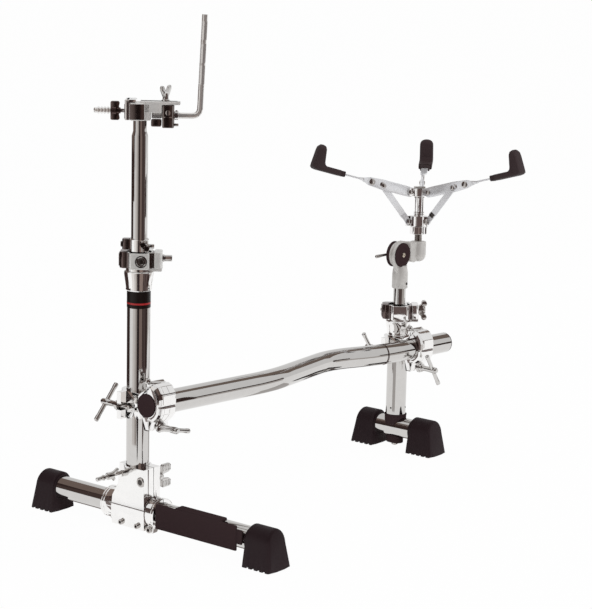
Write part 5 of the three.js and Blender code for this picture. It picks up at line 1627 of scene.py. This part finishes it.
@dataclass
class Basket(Part):
    """Folding basket: lobed nut, two hubs, three arms with rubber grips and three struts."""

    arm_pivot: Pair = (20.5, 123.5)
    strut_pivot: Pair = (20.9, 67.2)
    strut_end: Pair = (76.2, 135.6)
    rise: float = 14.0
    grip_stations: tuple[float, ...] = (-13, -12.6, -11.8, -10.4, -8, -4, 0, 4, 8, 10.4, 11.8, 12.6, 13)

    def build(self) -> None:
        """Makes the nut, the hubs with their rings, the cap nut, and each arm with its strut."""
        at = self.places.basket()
        lobes, radius, dip, outline = 6, 16.7, 1.7, []
        for i in range(8 * lobes):
            fall = dip * (1 - math.cos(math.tau * i / 8)) / 2
            outline.append(on_circle(radius - fall, 360 * i / (8 * lobes)))
        nut = Form().slab(outline, 43.6, 58.2, edge=0.9, segments=1)
        nut.lathe([(0, 43), (10, 43), (12, 44), (0, 44.4)], steps=40)
        self.shop.piece(nut, "basket_nut_lobed", "basket_nut", BRIGHT, at, 40)
        self.shop.copy("upper_hub", BRIGHT, 0.8)
        self.shop.copy("lower_hub", BRIGHT, 0.8)
        self.shop.detail(Form().ring(9.0, 10.2, 112.5, 114.7, 0.5), "sleeve_ring", "upper_hub", CHROME, at)
        rings = Form().ring(9.0, 10.2, 80.5, 82.7, 0.5).ring(9.0, 10.2, 84.0, 86.2, 0.5)
        self.shop.detail(rings, "slider_rings", "lower_hub", CHROME, at)
        cap = Form().lathe([(0, 131), (9, 131), (11, 131.4), (11.4, 132.6), (10, 134), (0, 134.4)], steps=6)
        self.shop.detail(cap, "hub_cap_nut", "upper_hub", STEEL, at)
        for i in range(3):
            plane = self.places.arm(i)
            self._pin(f"upper_rivet_{i + 1}", "upper_hub", self.arm_pivot, (-4.4, 6.4), plane)
            self._pin(f"lower_rivet_{i + 1}", "lower_hub", self.strut_pivot, (-9.0, 2.6), plane)
            self._arm(i + 1, plane)
            self._strut(i + 1, plane)

    def _pin(self, name: str, node: str, pivot: Pair, ends: Pair, plane: Matrix) -> None:
        """Makes a rivet on which an arm or a strut turns.

        Args:
            name: name of the rivet.
            node: CAD node of its hub.
            pivot: its place in the arm's plane.
            ends: of its shaft across the plane.
            plane: frame of the arm's upright plane.
        """
        at = (pivot[0], 0, pivot[1])
        pin = Form().rod(2.1, *ends, Axis.Y, at, 0.5, 24)
        for end, out in zip(ends, (-1, 1)):
            pin.rivet(4.4, 3.2, end - 1.5 * out, out, (1.5, 1.7), at, 24)
        self.shop.detail(pin, name, node, STEEL, plane)

    def _arm(self, number: int, plane: Matrix) -> None:
        """Makes one arm and its rubber grip.

        Args:
            number: of the arm, from 1.
            plane: frame of its upright plane.
        """
        node, cushion = f"basket_arm_{number}", f"basket_grip_{number}"
        lift = plane @ shift(self.arm_pivot[0], 0, self.arm_pivot[1]) @ turned(-self.rise, "Y")
        upper = [(88, 7.6), (84, 8.0), (60, 9.8), (8, 9.8)]
        nose = [(7.6 * c, 9.8 * s) for c, s in (on_circle(1, 90 + 22.5 * i) for i in range(1, 8))]
        lower = [(x, -z) for x, z in reversed(upper)]
        strip = Form().slab(lower[-1:] + upper + nose + lower[:-1], -1.5, 1.5, Axis.Y, 0.5)
        sections = []
        for i in range(13):
            share, swell = i / 12, math.sin(math.pi * i / 12) ** 2
            turn = 90 * (0.5 - 0.5 * math.cos(math.pi * share))
            sections.append(self._strip_section(86 + 28 * share, 7.6 - 2.6 * swell - 1.1 * share, turn))
        strip.loft(sections + [self._strip_section(x, 6.5, 90) for x in (120, 150, 196)])
        self.shop.piece(strip, f"arm_strip_{number}", node, ARM, lift, 40)
        rivets = Form()
        for x, radius, out in ((60.5, 4.6, -1), (60.5, 4.6, 1), (82.0, 6.0, -1), (82.0, 6.0, 1)):
            rivets.rivet(radius, radius * 0.75, 1.4 * out, out, (1.6, 1.9), (x, 0, 0), 28)
        self.shop.detail(rivets, f"arm_rivet_{number}", node, STEEL, lift)
        grip = Form().loft([self._grip_section(y) for y in self.grip_stations])
        grip.box((142, -8.6, -4.6), (156, 8.6, 4.9), 1.6, 3)
        self.shop.piece(grip, f"grip_{number}", cushion, GRIP, lift, 50)
        ribs = Form()
        for x in (143.5, 147.5, 151.5):
            ribs.box((x, -9.2, -5.2), (x + 1.8, 9.2, 5.4))
        self.shop.detail(ribs, f"grip_ribs_{number}", cushion, GRIP, lift)

    @staticmethod
    def _strip_section(x: float, wide: float, turn: float) -> list[Point]:
        """Section of the strip across its length.

        Args:
            x: place along the arm.
            wide: half its width.
            turn: turn about its length from upright, in degrees.

        Returns:
            Points round it.
        """
        thin, soft = 1.5, 0.5
        half = [(-thin, -wide + soft), (-thin + soft, -wide), (thin - soft, -wide), (thin, -wide + soft)]
        c, s = on_circle(1, turn)
        return [(x, y * c - z * s, y * s + z * c) for y, z in half + [(-y, -z) for y, z in half]]

    @staticmethod
    def _grip_section(y: float) -> list[Point]:
        """Outline of the rubber grip seen from the side, at one place across it.

        Args:
            y: distance from its middle.

        Returns:
            Points round the section, lower and thinner towards its sides.
        """
        half, height, middle = 13, 43, 199
        share = abs(y) / half
        soft = 1 - math.sqrt(max(0.0, 1 - share ** 4))
        inset, crown = 2.6 * soft, 3.5 * share ** 2 + 6 * soft
        outline = [(154, -5.6), (200, -5.6), (206, -4.6), (209, -0.5), (208.8, 6), (206.2, 34), (205, 39.5),
                   (202, 42.6), (197.4, 43), (193.2, 41.6), (191.6, 38), (188.6, 12), (187, 8), (184, 5.9),
                   (154, 5.9)]
        points = []
        for x, z in outline:
            across = x - inset if x > middle else x + inset if z > 6 else x
            level = z - crown * (z / height) ** 2 if z > 6 else z + inset if z < -2 else z - inset * 0.6
            points.append((across, y, level))
        return points

    def _strut(self, number: int, plane: Matrix) -> None:
        """Makes one strut with its offset near the lower hub.

        Args:
            number: of the strut, from 1.
            plane: frame of its upright plane.
        """
        node, (x, z) = f"basket_strut_{number}", self.strut_pivot
        out, rise = self.strut_end[0] - x, self.strut_end[1] - z
        reach = math.hypot(rise, out)
        at = plane @ shift(x, 0, z) @ turned(math.degrees(math.atan2(out, rise)), "Y")
        near, far = -1.8, -4.2
        sections = []
        for level, offset, half in ((-2.0, 0, 5.0), (13.5, 0, 5.6), (17.5, 1.6, 6.0), (20.5, 1.6, 6.0),
                                    (24, 0, 6.0), (reach - 6, 0, 6.0), (reach + 3, 0, 5.2)):
            y0, y1 = far - offset, near - offset
            sections.append([(-half, y0, level), (half, y0, level), (half, y1, level), (-half, y1, level)])
        strut = Form().loft(sections)
        for level in (0, reach):
            strut.rod(6.0, far, near, Axis.Y, (0, 0, level), 0.4, 32)
        self.shop.piece(strut, f"strut_{number}", node, ARM, at, 30)
        pad = Form().box((-4.6, far - 2.2, 14.5), (4.6, far - 1.0, 23), 0.4)
        for level in (15.2, 17.2, 19.2, 21.2):
            pad.box((-4.4, far - 2.6, level), (4.4, far - 2, level + 1), 0.2)
        self.shop.detail(pad, f"strut_knurl_{number}", node, DARK_STEEL_AND_SHADE, at)
        rivet = Form().rivet(4.2, 3, far, -1, (1.6, 1.8), (0, 0, reach), 28)
        rivet.rivet(4.2, 3, 3.6, 1, (1.6, 1.8), (0, 0, reach), 28)
        self.shop.detail(rivet, f"strut_rivet_{number}", node, STEEL, at)


def main() -> None:
    """Builds the studio and every sub-assembly in order."""
    logging.basicConfig(level=logging.INFO, format="%(message)s")
    bpy.context.scene.view_settings.view_transform = "Standard"
    places, shop = Places(), Workshop()
    Studio(places).build()
    for part in (
        Feet(shop, places),
        NamePlate(shop, places),
        BaseClamp(shop, places),
        Posts(shop, places),
        HeightCasting(shop, places, False, (404.0, 436.0), (440.0, 466.5), 13.15),
        HeightCasting(shop, places, True, (219.0, 247.5), (249.5, 277.0), 11.7),
        MemoryLock(shop, places),
        TomBracket(shop, places),
        BarClamp(shop, places, False, 41, -101),
        BarClamp(shop, places, True, -36, 35),
        BentBar(shop, places),
        RightFoot(shop, places),
        Tilter(shop, places),
        Basket(shop, places),
    ):
        part.build()
        log.info("%s is made", type(part).__name__)
    log.info("nodes left as they are: %s", sorted(set(frame["nodes"]) - shop.replaced))


if __name__ == "__main__":
    main()
